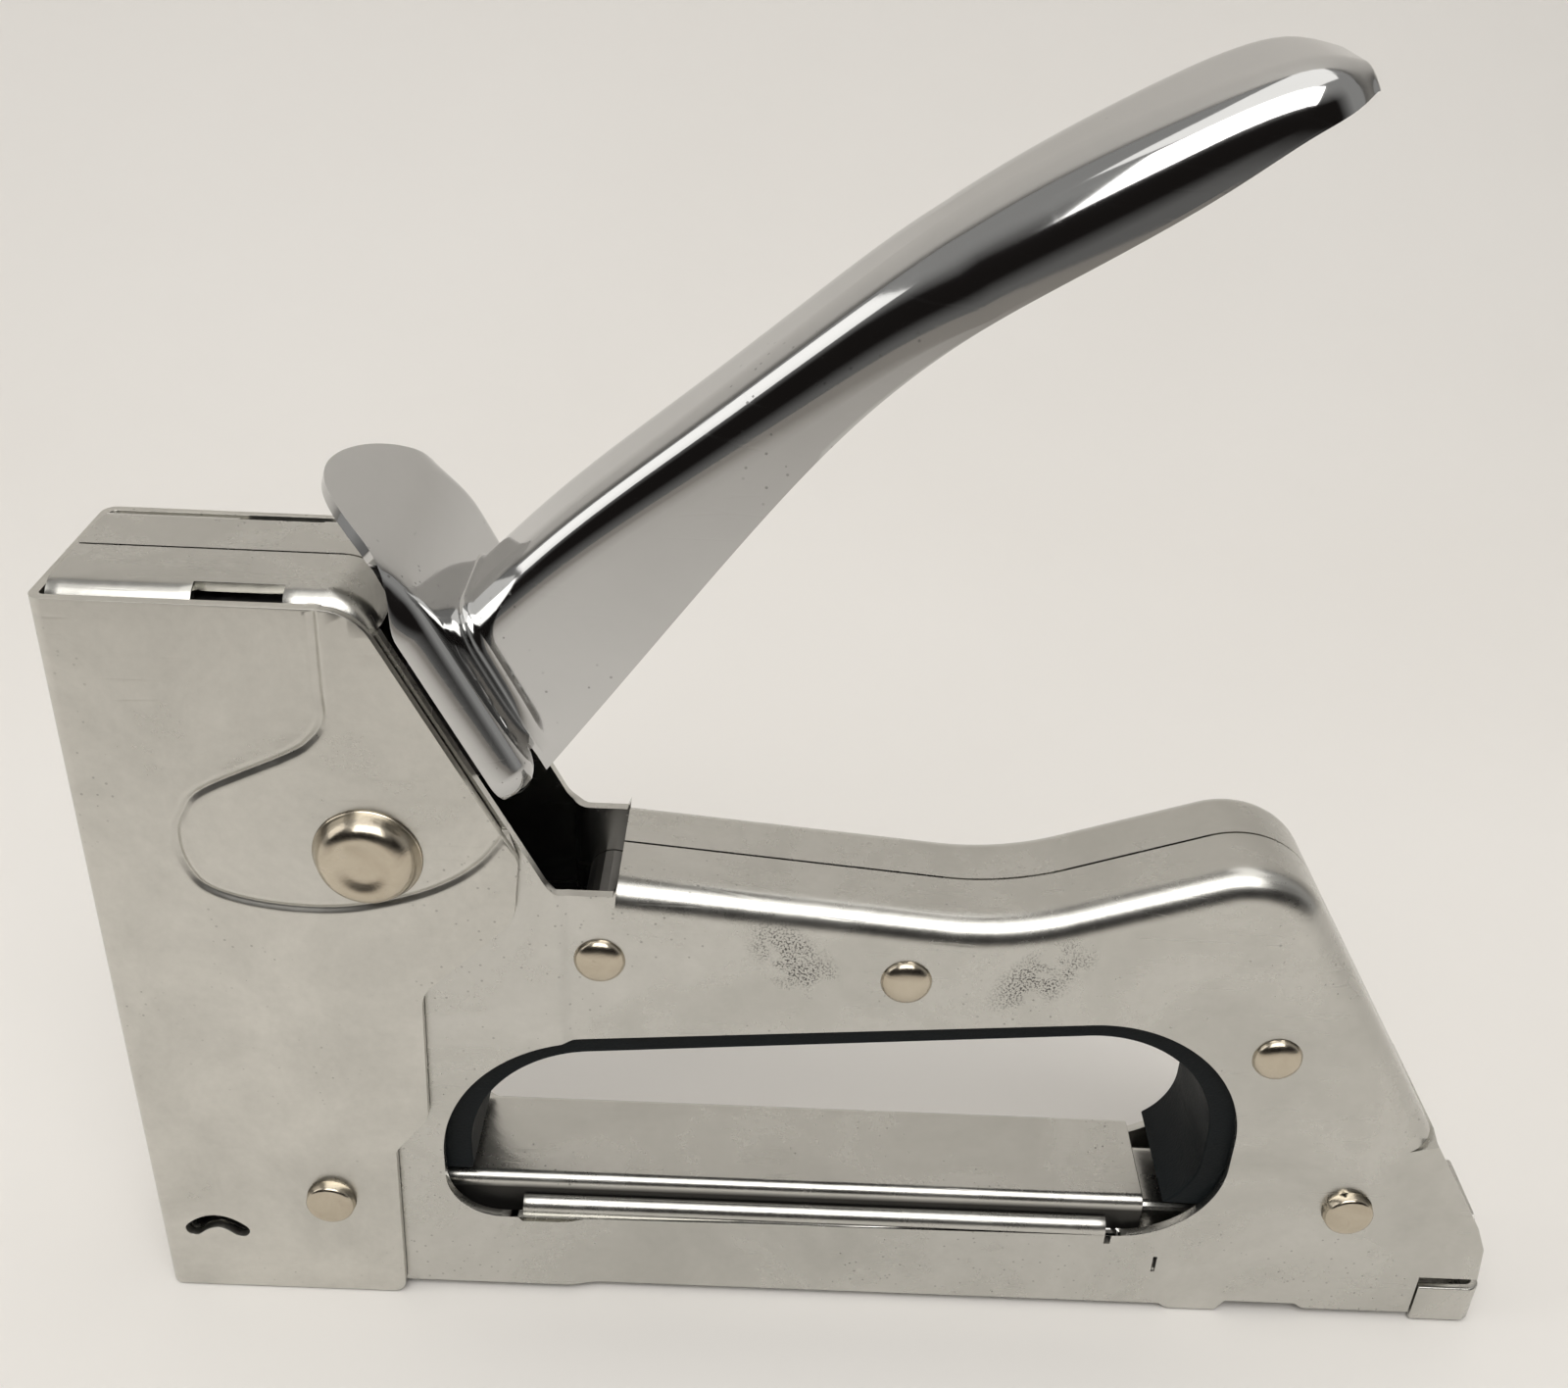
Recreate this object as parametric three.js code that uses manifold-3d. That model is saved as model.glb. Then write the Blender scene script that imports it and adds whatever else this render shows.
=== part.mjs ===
// A hand-operated staple gun in pressed steel.
// Millimetres, +Z up, +X from the nose to the heel, +Y to the far side.
// The origin is at the middle of the base, on the surface that it stands on.

import * as THREE from 'three';
import { mergeVertices } from 'three/addons/utils/BufferGeometryUtils.js';
import Module from 'manifold-3d';

const wasm = await Module();
wasm.setup();

// ---------------------------------------------------------------- driving dimensions

const LENGTH = 148.6; // nose to heel
const NOSE_TOP = 87.9; // height of the folded flaps on the nose
const SHEET = 1.0; // steel of the body halves
const NOSE_HALF = 8.7; // half of the width over the body halves, inside the nose cover
const GRIP_HALF = 8.1; // the same along the grip, behind the joggle
const JOGGLE = 45.7; // x where the walls step in from the nose to the grip
const COVER_SHEET = 0.9; // steel of the front cover
const COVER_HALF = 9.8; // half of the width over the front cover
const SEAM = 0.15; // half of the seam between the two folded flanges
const FOLD_RADIUS = 3.0; // outer radius of the folds along the grip
const GAP = 0.3; // running and resting clearance
const FIT = 0.1; // clearance between pieces that are riveted together

const PIVOT = [27.6, 61.0]; // x, z of the pivot rivet
const PIVOT_SHANK = 3.0;
const SLOPE_RUN = 13.1; // pivot to the sloping rear edge of the nose, square to it
const SLOPE_ANGLE = THREE.MathUtils.degToRad(62.9);

const GUARD_HALF = 13.6; // half of the width over the hand guard
const GUARD_FACE = 19.7; // pivot to the handle side of the guard, square to the slope
const GUARD_RIM = 16.8; // pivot to the edge of its rolled rim
const GUARD_LOW = 0.8; // lower and upper ends of the guard, along the slope
const GUARD_HIGH = 33.2;
const GUARD_CURL = 19.0; // radius of the tab that curls forward above the handle
const GUARD_CURL_START = GUARD_HIGH - GUARD_HALF;
const GUARD_ROLL = 2.8;
const HANDLE_SHEET = 1.0;
const HANDLE_ROOT_HALF = 7.2; // half of the handle's width where it enters the body

const LEVER_ARM = 20.0; // pivot to the lifting pin
const LEVER_REST = THREE.MathUtils.degToRad(18); // how far the arm hangs below level at rest
const LEVER_INNER = 4.5;
const LEVER_OUTER = 5.8;

const PIVOT_HEAD = 5.1;
const RIVET_HEAD = 2.6;
const RIVET_SHANK = 1.6;
const GRIP_RIVETS = [[49.2, 48.0], [80.0, 46.8], [119.0, 38.5]];
const SPACER_HALF = 7.0;
const LINER_HALF = 7.0;
const HEEL_RIVET = [130.8, 16.9];
const NOSE_RIVET = [19.6, 14.5];

const BLADE_FRONT = 3.0; // the striker blade's front face
const BLADE_SHEET = 1.0;
const BLADE_HALF = 5.3;
const BLADE_RIVETS = [44.5, 49.5]; // heights of the two that hold it to the plunger
const SPRING_AXIS = 14.6; // x of the main spring
const SPRING_RADIUS = 3.1;
const SPRING_WIRE = 0.7;
const SEAT_TOP = 41.5; // top of the plunger's spring seat

const MAGAZINE_TOP = 15.4;
const MAGAZINE_HALF = 6.5;
const MAGAZINE_END = 109;
const RAIL_TOP = 12.8;
const RAIL_HALF = 4.8;
const RAIL_END = 147.3;
const ROD_HEIGHT = 7.5;

// ---------------------------------------------------------------- finishes

const FINISHES = {
  zinc: { color: 0xb4b3ae, roughness: 0.36, metalness: 1.0 },
  chrome: { color: 0xc9cacb, roughness: 0.1, metalness: 1.0 },
  nickel: { color: 0xcabfa6, roughness: 0.2, metalness: 1.0 },
  spring: { color: 0x6d6c6a, roughness: 0.4, metalness: 1.0 },
  brass: { color: 0xb08d4f, roughness: 0.3, metalness: 1.0 },
  tool_steel: { color: 0x8d8c8a, roughness: 0.35, metalness: 1.0 },
  black_plastic: { color: 0x1c2226, roughness: 0.45, metalness: 0.0 },
  rubber: { color: 0x191919, roughness: 0.8, metalness: 0.0 },
};

const gun = new THREE.Group();
gun.position.x = -LENGTH / 2;

function addPiece(name, finish, body) {
  const raw = body.getMesh();
  const geometry = new THREE.BufferGeometry();
  geometry.setAttribute('position', new THREE.BufferAttribute(raw.vertProperties, raw.numProp));
  geometry.setIndex(new THREE.BufferAttribute(raw.triVerts, 1));
  geometry.computeVertexNormals();
  const mesh = new THREE.Mesh(geometry, new THREE.MeshStandardMaterial(FINISHES[finish]));
  mesh.name = name;
  gun.add(mesh);
}

// ---------------------------------------------------------------- solids

function solid(source) {
  const geometry = source.clone();
  geometry.deleteAttribute('normal');
  geometry.deleteAttribute('uv');
  const merged = mergeVertices(geometry, 1e-4);
  const mesh = new wasm.Mesh({
    numProp: 3,
    vertProperties: Float32Array.from(merged.attributes.position.array),
    triVerts: Uint32Array.from(merged.index.array),
  });
  mesh.merge();
  return new wasm.Manifold(mesh);
}

// A polygon whose corners [a, b, radius] are rounded with arcs.
function roundedShape(corners, shape = new THREE.Shape()) {
  corners.forEach(([a, b, radius = 0], i) => {
    const here = new THREE.Vector2(a, b);
    const before = corners.at(i - 1);
    const after = corners[(i + 1) % corners.length];
    const back = new THREE.Vector2(before[0], before[1]).sub(here).normalize();
    const ahead = new THREE.Vector2(after[0], after[1]).sub(here).normalize();
    const half = Math.acos(THREE.MathUtils.clamp(back.dot(ahead), -1, 1)) / 2;
    const reach = radius / Math.tan(half);
    const start = here.clone().addScaledVector(back, reach);
    const end = here.clone().addScaledVector(ahead, reach);
    if (i === 0) {
      shape.moveTo(start.x, start.y);
    } else {
      shape.lineTo(start.x, start.y);
    }
    if (radius > 0) {
      const middle = back.clone().add(ahead).normalize();
      const centre = here.clone().addScaledVector(middle, radius / Math.sin(half));
      const from = Math.atan2(start.y - centre.y, start.x - centre.x);
      const to = Math.atan2(end.y - centre.y, end.x - centre.x);
      shape.absarc(centre.x, centre.y, radius, from, to, back.cross(ahead) > 0);
    }
  });
  shape.closePath();
  return shape;
}

// The local x, y and z of an extrusion, turned onto three axes of the gun.
function turned(geometry, xAxis, yAxis, zAxis, at = new THREE.Vector3()) {
  const matrix = new THREE.Matrix4().makeBasis(xAxis, yAxis, zAxis);
  matrix.setPosition(at);
  return geometry.applyMatrix4(matrix);
}

const AXIS_X = new THREE.Vector3(1, 0, 0);
const AXIS_Y = new THREE.Vector3(0, 1, 0);
const AXIS_Z = new THREE.Vector3(0, 0, 1);
const MINUS_Y = new THREE.Vector3(0, -1, 0);

// A side-view outline (x, z) given a width in y.
function plate(shape, y0, y1, curveSegments = 3) {
  const flat = new THREE.ExtrudeGeometry(shape, {
    depth: y1 - y0,
    bevelEnabled: false,
    curveSegments,
  });
  return solid(turned(flat, AXIS_X, AXIS_Z, MINUS_Y, new THREE.Vector3(0, y1, 0)));
}

// A section (y, z) run along x.
function run(shape, x0, x1, curveSegments = 2) {
  const flat = new THREE.ExtrudeGeometry(shape, {
    depth: x1 - x0,
    bevelEnabled: false,
    curveSegments,
  });
  return solid(turned(flat, AXIS_Y, AXIS_Z, AXIS_X, new THREE.Vector3(x0, 0, 0)));
}

function box(x0, x1, y0, y1, z0, z1) {
  const shape = new THREE.BoxGeometry(x1 - x0, y1 - y0, z1 - z0);
  return solid(shape.translate((x0 + x1) / 2, (y0 + y1) / 2, (z0 + z1) / 2));
}

// A side-view outline with rounded shoulders on both faces, set in by `inset` all round.
function cushion(shape, half, radius, inset = 0, curveSegments = 3) {
  const reach = half - inset;
  const round = Math.max(radius - inset, 0.4);
  const flat = new THREE.ExtrudeGeometry(shape, {
    depth: 2 * (reach - round),
    bevelEnabled: true,
    bevelThickness: round,
    bevelSize: round,
    bevelOffset: -round - inset,
    bevelSegments: 3,
    curveSegments,
  });
  return solid(turned(flat, AXIS_X, AXIS_Z, MINUS_Y, new THREE.Vector3(0, reach - round, 0)));
}

// A turned piece whose profile [radius, y] lies round an axis along y.
function turnedPiece(profile, x, z, segments = 18) {
  const points = profile.map(([radius, y]) => new THREE.Vector2(radius, y));
  const geometry = new THREE.LatheGeometry(points, segments);
  const lathe = solid(geometry.translate(x, 0, z));
  return lathe.volume() < 0 ? solid(flipped(geometry)) : lathe;
}

function flipped(geometry) {
  const index = geometry.index.array;
  for (let i = 0; i < index.length; i += 3) {
    const keep = index[i];
    index[i] = index[i + 1];
    index[i + 1] = keep;
  }
  return geometry;
}

function rod(x, z, radius, y0, y1, segments = 18) {
  return turnedPiece([[0, y0], [radius, y0], [radius, y1], [0, y1]], x, z, segments);
}

function tube(x, z, outer, inner, y0, y1) {
  return rod(x, z, outer, y0, y1).subtract(rod(x, z, inner, y0 - 1, y1 + 1));
}

// A domed rivet head [radius, y] profile that ends on the axis.
function domeProfile(radius, height, y, side) {
  const steps = 4;
  const points = [];
  for (let i = 0; i <= steps; i += 1) {
    const angle = (i / steps) * (Math.PI / 2);
    points.push([radius * Math.cos(angle), y + side * height * (0.25 + 0.75 * Math.sin(angle))]);
  }
  points[steps][0] = 0;
  return points;
}

function rivetThrough(x, z, headRadius, shank, face, height) {
  const near = domeProfile(headRadius, height, -face, -1).reverse();
  const far = domeProfile(headRadius, height, face, 1);
  const profile = [...near, [headRadius, -face], [shank, -face], [shank, face], [headRadius, face], ...far];
  return turnedPiece(profile, x, z);
}

// A coil along `axis` that starts at `from`.
class Helix extends THREE.Curve {
  constructor(from, axis, radius, length, turns) {
    super();
    this.from = from;
    this.axis = axis;
    this.radius = radius;
    this.length = length;
    this.turns = turns;
    this.across = new THREE.Vector3(axis.y, axis.z, axis.x);
    this.upward = axis.clone().cross(this.across);
  }

  getPoint(t, target = new THREE.Vector3()) {
    const angle = t * this.turns * 2 * Math.PI;
    target.copy(this.from).addScaledVector(this.axis, t * this.length);
    target.addScaledVector(this.across, this.radius * Math.cos(angle));
    return target.addScaledVector(this.upward, this.radius * Math.sin(angle));
  }
}

function coil(from, axis, radius, wire, length, turns, sides) {
  const section = new THREE.Shape();
  for (let i = 0; i < sides; i += 1) {
    const angle = (i / sides) * 2 * Math.PI;
    section[i === 0 ? 'moveTo' : 'lineTo'](wire * Math.cos(angle), wire * Math.sin(angle));
  }
  const extrudePath = new Helix(from, axis, radius, length, turns);
  return solid(new THREE.ExtrudeGeometry(section, { steps: turns * 9, extrudePath, bevelEnabled: false }));
}

// ---------------------------------------------------------------- outlines of the body

const SLOPE = new THREE.Vector2(-Math.cos(SLOPE_ANGLE), Math.sin(SLOPE_ANGLE));
const OUTWARD = new THREE.Vector2(SLOPE.y, -SLOPE.x);
const SLOPE_3D = new THREE.Vector3(SLOPE.x, 0, SLOPE.y);
const OUTWARD_3D = new THREE.Vector3(OUTWARD.x, 0, OUTWARD.y);
const PIVOT_3D = new THREE.Vector3(PIVOT[0], 0, PIVOT[1]);

// A point (x, z) given along the slope and square to it, from the pivot.
function fromPivot(along, square) {
  return [
    PIVOT[0] + along * SLOPE.x + square * OUTWARD.x,
    PIVOT[1] + along * SLOPE.y + square * OUTWARD.y,
  ];
}

// Where the line beside the slope crosses a height.
function slopeAt(height, square = SLOPE_RUN) {
  const along = (height - PIVOT[1] - square * OUTWARD.y) / SLOPE.y;
  return fromPivot(along, square)[0];
}

const DIP = 55.9; // lowest point behind the nose
const GRIP_START = [51.0, 56.9];
const GRIP_LOW = [90.0, 53.4];
const GRIP_HUMP = [116.8, 63.0];
const HEEL_TURN = [145.9, 14.8];
const HEEL_RUN = (HEEL_TURN[0] - GRIP_HUMP[0]) / (GRIP_HUMP[1] - HEEL_TURN[1]);
const HEEL_FOOT = 5.0; // the heel's slope carried on down to this height

const bodyOutline = roundedShape([
  [1.6, 0.8],
  [112.5, 0.8],
  [113.5, 0.1],
  [119.0, 0.1],
  [120.0, 1.6],
  [128.0, 1.6],
  [129.0, 0.9],
  [141.2, 0.9],
  [141.2, 6.6],
  [147.8, 6.6],
  [147.3, 11.5, 1.2],
  HEEL_TURN,
  [...GRIP_HUMP, 9],
  [...GRIP_LOW, 30],
  GRIP_START,
  [50.6, DIP],
  [slopeAt(DIP), DIP, 3],
  [slopeAt(NOSE_TOP), NOSE_TOP, 5],
  [1.6, NOSE_TOP],
]);

// The finger hole, grown or shrunk by `grow` all round.
function holeShape(grow, shape = new THREE.Shape()) {
  return roundedShape([
    [32.0 - grow, 11.5 - grow, 6 + grow],
    [116.8 + grow, 11.5 - grow, 11 + grow],
    [116.8 + grow, 43.6 + grow, 16 + grow],
    [32.0 - grow, 36.1 + grow, 17 + grow],
  ], shape);
}

function kidneySlot() {
  const slot = new THREE.Shape();
  slot.absarc(6.7, 7.3, 3.9, 0.15, Math.PI - 0.15, false);
  slot.absarc(6.7, 7.3, 2.0, Math.PI - 0.15, 0.15, true);
  slot.closePath();
  return plate(slot, -12, 12);
}

// ---------------------------------------------------------------- body halves

// Sheet folded over along the outline's upper edge, kept only inside `zone`.
function foldedEdge(outline, half, radius, zone) {
  const skin = cushion(outline, half, radius).subtract(cushion(outline, half, radius, SHEET));
  return skin.intersect(plate(zone, -half - 1, half + 1));
}

// Both flat walls of the body between two places along x.
function wallPair(half, x0, x1) {
  const filled = plate(bodyOutline, -half, half);
  const walls = filled.subtract(plate(bodyOutline, -half + SHEET, half - SHEET));
  return walls.intersect(box(x0, x1, -12, 12, -5, 100));
}

function bodyShell() {
  const gripOutline = roundedShape([
    [45.0, 20.0],
    [140.0, HEEL_FOOT],
    [GRIP_HUMP[0] + (GRIP_HUMP[1] - HEEL_FOOT) * HEEL_RUN, HEEL_FOOT],
    [...GRIP_HUMP, 9],
    [...GRIP_LOW, 30],
    [45.0, 57.4],
  ]);
  const gripZone = roundedShape([
    [51.0, 52.4],
    [90.0, 48.6],
    [112.5, 56.4, 6],
    [132.0, 27.5],
    [140.5, 30.5],
    [130.0, 75.0],
    [51.0, 75.0],
  ]);
  const noseOutline = roundedShape([
    [-6.0, 60.0],
    [40.0, 60.0],
    [40.0, NOSE_TOP],
    [-6.0, NOSE_TOP],
  ]);
  const noseZone = roundedShape([
    [3.7, 84.0],
    [33.0, 84.0],
    [33.0, 95.0],
    [3.7, 95.0],
  ]);
  const noseCorner = roundedShape([
    [0.0, 84.0],
    [3.7, 84.0],
    [3.7, 95.0],
    [0.0, 95.0],
  ]);
  const outline = plate(bodyOutline, -12, 12);
  const joggle = plate(bodyOutline, -NOSE_HALF, NOSE_HALF)
    .subtract(plate(bodyOutline, SHEET - GRIP_HALF, GRIP_HALF - SHEET))
    .intersect(box(JOGGLE - 0.6, JOGGLE + 0.6, -12, 12, -5, 100));
  let walls = wallPair(NOSE_HALF, -5, JOGGLE).add(wallPair(GRIP_HALF, JOGGLE, 155)).add(joggle);
  [gripZone, noseZone, noseCorner].forEach((zone) => {
    walls = walls.subtract(plate(zone, -12, 12));
  });
  const grip = foldedEdge(gripOutline, GRIP_HALF, FOLD_RADIUS, gripZone);
  const nose = foldedEdge(noseOutline, NOSE_HALF, 2.5, noseZone);
  let shell = walls.add(grip.intersect(outline)).add(nose.intersect(outline));
  shell = shell.subtract(plate(holeShape(0), -12, 12));
  shell = shell.subtract(kidneySlot());
  shell = shell.subtract(rod(...PIVOT, PIVOT_SHANK + FIT, -12, 12));
  [...GRIP_RIVETS, HEEL_RIVET, NOSE_RIVET].forEach(([x, z]) => {
    shell = shell.subtract(rod(x, z, RIVET_SHANK + FIT, -12, 12));
  });
  [-1, 1].forEach((side) => {
    const slot = [side * (NOSE_HALF - 2.2), side * (NOSE_HALF + 1)].sort((a, b) => a - b);
    shell = shell.subtract(box(13.4, 22.0, slot[0], slot[1], 86.2, 90.0));
  });
  return shell;
}

// The lip that is folded in along the lower edge of the finger hole.
function holeLip(side) {
  const inner = side * (GRIP_HALF - SHEET - 0.35);
  const outer = side * GRIP_HALF;
  const low = Math.min(inner, outer);
  const high = Math.max(inner, outer);
  return run(roundedShape([
    [low, 11.0, 0.3],
    [high, 11.0, 0.3],
    [high, 13.0, 0.6],
    [low, 13.0, 0.6],
  ]), 40.0, 105.0);
}

function addBodyHalves() {
  const shell = bodyShell();
  addPiece('body_half_near', 'zinc', shell.intersect(box(-5, 155, -20, -SEAM, -5, 100)).add(holeLip(-1)));
  addPiece('body_half_far', 'zinc', shell.intersect(box(-5, 155, SEAM, 20, -5, 100)).add(holeLip(1)));
}

// ---------------------------------------------------------------- front cover

function addFrontCover() {
  const outline = roundedShape([
    [0.0, 0.0],
    [26.6, 0.0, 1.5],
    [27.2, 22.0, 1.5],
    [31.0, 27.0, 2],
    [31.5, 44.0, 4],
    [41.2, 53.8, 4],
    [slopeAt(61.0, SLOPE_RUN - 0.4), 61.0, 2],
    [slopeAt(87.2, SLOPE_RUN - 0.4), 87.2, 5],
    [0.0, 87.2],
  ]);
  const section = roundedShape([
    [0.0, -COVER_HALF, 1.3],
    [60.0, -COVER_HALF],
    [60.0, COVER_HALF],
    [0.0, COVER_HALF, 1.3],
  ]);
  const hollow = roundedShape([
    [COVER_SHEET, -COVER_HALF + COVER_SHEET, 0.5],
    [61.0, -COVER_HALF + COVER_SHEET],
    [61.0, COVER_HALF - COVER_SHEET],
    [COVER_SHEET, COVER_HALF - COVER_SHEET, 0.5],
  ]);
  const outside = new THREE.ExtrudeGeometry(section, { depth: 90, bevelEnabled: false, curveSegments: 2 });
  const inside = new THREE.ExtrudeGeometry(hollow, { depth: 92, bevelEnabled: false, curveSegments: 2 });
  const wrap = solid(outside).subtract(solid(inside.translate(0, 0, -1)));
  let cover = wrap.intersect(plate(outline, -12, 12));
  cover = cover.subtract(kidneySlot());
  cover = cover.subtract(rod(...PIVOT, PIVOT_SHANK + FIT, -12, 12));
  cover = cover.subtract(rod(...NOSE_RIVET, RIVET_SHANK + FIT, -12, 12));
  addPiece('front_cover', 'zinc', cover);
}

// ---------------------------------------------------------------- rivets and spacers

function addRivets() {
  const face = COVER_HALF + FIT;
  const head = [
    [0, -face - 1.4],
    [2.1, -face - 1.4],
    [2.9, -face - 2.3],
    [4.0, -face - 2.1],
    [PIVOT_HEAD, -face - 0.7],
    [PIVOT_HEAD, -face],
  ];
  const mirrored = head.map(([radius, y]) => [radius, -y]).reverse();
  const profile = [...head, [PIVOT_SHANK, -face], [PIVOT_SHANK, face], ...mirrored];
  addPiece('pivot_rivet', 'nickel', turnedPiece(profile, ...PIVOT, 28));
  ['front', 'middle', 'rear'].forEach((place, i) => {
    const [x, z] = GRIP_RIVETS[i];
    const rivet = rivetThrough(x, z, RIVET_HEAD, RIVET_SHANK, GRIP_HALF + FIT, 1.1);
    addPiece(`grip_rivet_${place}`, 'nickel', rivet);
    const spacer = tube(x, z, 2.6, RIVET_SHANK + FIT, -SPACER_HALF, SPACER_HALF);
    addPiece(`grip_spacer_${place}`, 'tool_steel', spacer);
  });
  const heel = rivetThrough(...HEEL_RIVET, RIVET_HEAD, RIVET_SHANK, GRIP_HALF + FIT, 1.9);
  addPiece('heel_rivet', 'nickel', heel);
  const heelSpacer = tube(...HEEL_RIVET, 2.3, RIVET_SHANK + FIT, -SPACER_HALF, SPACER_HALF);
  addPiece('heel_spacer', 'tool_steel', heelSpacer);
  [['near', -1], ['far', 1]].forEach(([place, side]) => {
    const seat = side * (COVER_HALF + FIT);
    const crown = domeProfile(RIVET_HEAD, 1.5, seat, side);
    const tip = side * (MAGAZINE_HALF + FIT);
    const rivetProfile = [[0, tip], [RIVET_SHANK, tip], [RIVET_SHANK, seat], [RIVET_HEAD, seat], ...crown];
    addPiece(`nose_rivet_${place}`, 'nickel', turnedPiece(rivetProfile, ...NOSE_RIVET));
  });
}

// ---------------------------------------------------------------- finger liner

function addFingerLiner() {
  const band = plate(holeShape(2.6), -LINER_HALF, LINER_HALF).subtract(plate(holeShape(-2.7), -9, 9));
  let liner = band;
  GRIP_RIVETS.forEach(([x, z]) => {
    const foot = z - 9.5;
    const boss = rod(x, z, 4.6, -LINER_HALF, LINER_HALF).add(box(x - 3.4, x + 3.4, -6.7, 6.7, foot, z));
    liner = liner.add(boss.subtract(plate(holeShape(0), -9, 9)));
  });
  GRIP_RIVETS.forEach(([x, z]) => {
    liner = liner.subtract(rod(x, z, 2.6 + FIT, -9, 9));
  });
  liner = liner.subtract(box(20, 70, -9, 9, 0, MAGAZINE_TOP + 0.6));
  liner = liner.subtract(box(60, 130, -9, 9, 0, 15.4));
  addPiece('finger_liner', 'black_plastic', liner);
}

// ---------------------------------------------------------------- nose internals

function addNoseInternals() {
  addPiece('nose_plate', 'tool_steel', box(1.5, 2.6, -7.3, 7.3, 0.8, 40.0));
  addPiece('spring_cap', 'tool_steel', run(roundedShape([
    [-7.0, 84.6],
    [7.0, 84.6],
    [7.0, 86.0],
    [-7.0, 86.0],
  ]), 4.0, 24.0).add(coreRod(SPRING_AXIS, 1.8, 78.0, 85.0)));
  addPiece('bumper', 'rubber', box(6.4, 21.0, -7.0, 7.0, 33.0, 39.4));
  const bracket = run(roundedShape([
    [-7.4, 24.0],
    [-6.4, 24.0],
    [-6.4, 31.5],
    [6.4, 31.5],
    [6.4, 24.0],
    [7.4, 24.0],
    [7.4, 32.6, 0.8],
    [-7.4, 32.6, 0.8],
  ]), 6.4, 21.0);
  addPiece('bumper_bracket', 'zinc', bracket);
}

// An upright round rod.
function coreRod(x, radius, z0, z1) {
  const geometry = new THREE.CylinderGeometry(radius, radius, z1 - z0, 14);
  return solid(geometry.rotateX(Math.PI / 2).translate(x, 0, (z0 + z1) / 2));
}

// ---------------------------------------------------------------- plunger and striker

function addPlunger() {
  const yoke = roundedShape([
    [4.3, 40.0],
    [SPRING_AXIS + 4.4, 40.0, 0.6],
    [SPRING_AXIS + 4.4, SEAT_TOP, 0.6],
    [5.6, SEAT_TOP, 0.6],
    [5.6, 56.9, 0.5],
    [10.0, 56.9, 0.5],
    [10.0, 58.4, 0.5],
    [4.3, 58.4],
  ]);
  let plunger = plate(yoke, -4.0, 4.0, 2);
  plunger = plunger.add(coreRod(SPRING_AXIS, 1.8, SEAT_TOP - 0.5, SEAT_TOP + 5));
  const blade = box(BLADE_FRONT, BLADE_FRONT + BLADE_SHEET, -BLADE_HALF, BLADE_HALF, 1.0, 57.5);
  let striker = blade;
  BLADE_RIVETS.forEach((z) => {
    const hole = alongX(1.3, 0, 8, z);
    plunger = plunger.subtract(hole);
    striker = striker.subtract(hole);
  });
  addPiece('plunger', 'tool_steel', plunger);
  addPiece('striker_blade', 'tool_steel', striker);
  ['lower', 'upper'].forEach((place, i) => {
    const z = BLADE_RIVETS[i];
    const pin = alongX(1.2, 2.8, 5.9, z).add(alongX(2.0, 5.7, 6.4, z));
    addPiece(`blade_rivet_${place}`, 'nickel', pin);
  });
  const from = new THREE.Vector3(SPRING_AXIS, 0, SEAT_TOP + SPRING_WIRE + 0.1);
  const length = 84.6 - SEAT_TOP - 2 * SPRING_WIRE - 0.2;
  addPiece('main_spring', 'spring', coil(from, AXIS_Z, SPRING_RADIUS, SPRING_WIRE, length, 13, 5));
}

function alongX(radius, x0, x1, z, segments = 12) {
  const geometry = new THREE.CylinderGeometry(radius, radius, x1 - x0, segments);
  return solid(geometry.rotateZ(Math.PI / 2).translate((x0 + x1) / 2, 0, z));
}

// ---------------------------------------------------------------- lever

function addLever() {
  const pinX = PIVOT[0] - LEVER_ARM * Math.cos(LEVER_REST);
  const pinZ = PIVOT[1] - LEVER_ARM * Math.sin(LEVER_REST);
  const outline = roundedShape([
    [pinX - 2.6, pinZ - 2.4, 2],
    [PIVOT[0] + 1.0, PIVOT[1] - 6.0, 4],
    [...fromPivot(1.5, 12.0), 2],
    [...fromPivot(3.0, 26.0), 2],
    [...fromPivot(14.6, 22.0), 2],
    [...fromPivot(14.6, 12.0), 2],
    [PIVOT[0] - 3.0, PIVOT[1] + 6.0, 4],
    [pinX - 2.6, pinZ + 2.2, 2],
  ]);
  [['near', -1], ['far', 1]].forEach(([place, side]) => {
    const y0 = Math.min(side * LEVER_INNER, side * LEVER_OUTER);
    const y1 = Math.max(side * LEVER_INNER, side * LEVER_OUTER);
    let arm = plate(outline, y0, y1, 2);
    arm = arm.subtract(rod(...PIVOT, PIVOT_SHANK + 1.1 + FIT, -9, 9));
    arm = arm.subtract(rod(pinX, pinZ, 1.5 + FIT, -9, 9));
    addPiece(`lever_arm_${place}`, 'tool_steel', arm);
  });
  addPiece('lifting_pin', 'tool_steel', turnedPiece([
    [0, -LEVER_OUTER - 1.0],
    [2.1, -LEVER_OUTER - 1.0],
    [2.1, -LEVER_OUTER - FIT],
    [1.5, -LEVER_OUTER - FIT],
    [1.5, LEVER_OUTER + FIT],
    [2.1, LEVER_OUTER + FIT],
    [2.1, LEVER_OUTER + 1.0],
    [0, LEVER_OUTER + 1.0],
  ], pinX, pinZ, 14));
  const bush = tube(...PIVOT, PIVOT_SHANK + 1.1, PIVOT_SHANK + 0.05, -7.2, 7.2);
  addPiece('pivot_bush', 'brass', bush);
}

// ---------------------------------------------------------------- handle with hand guard

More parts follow.
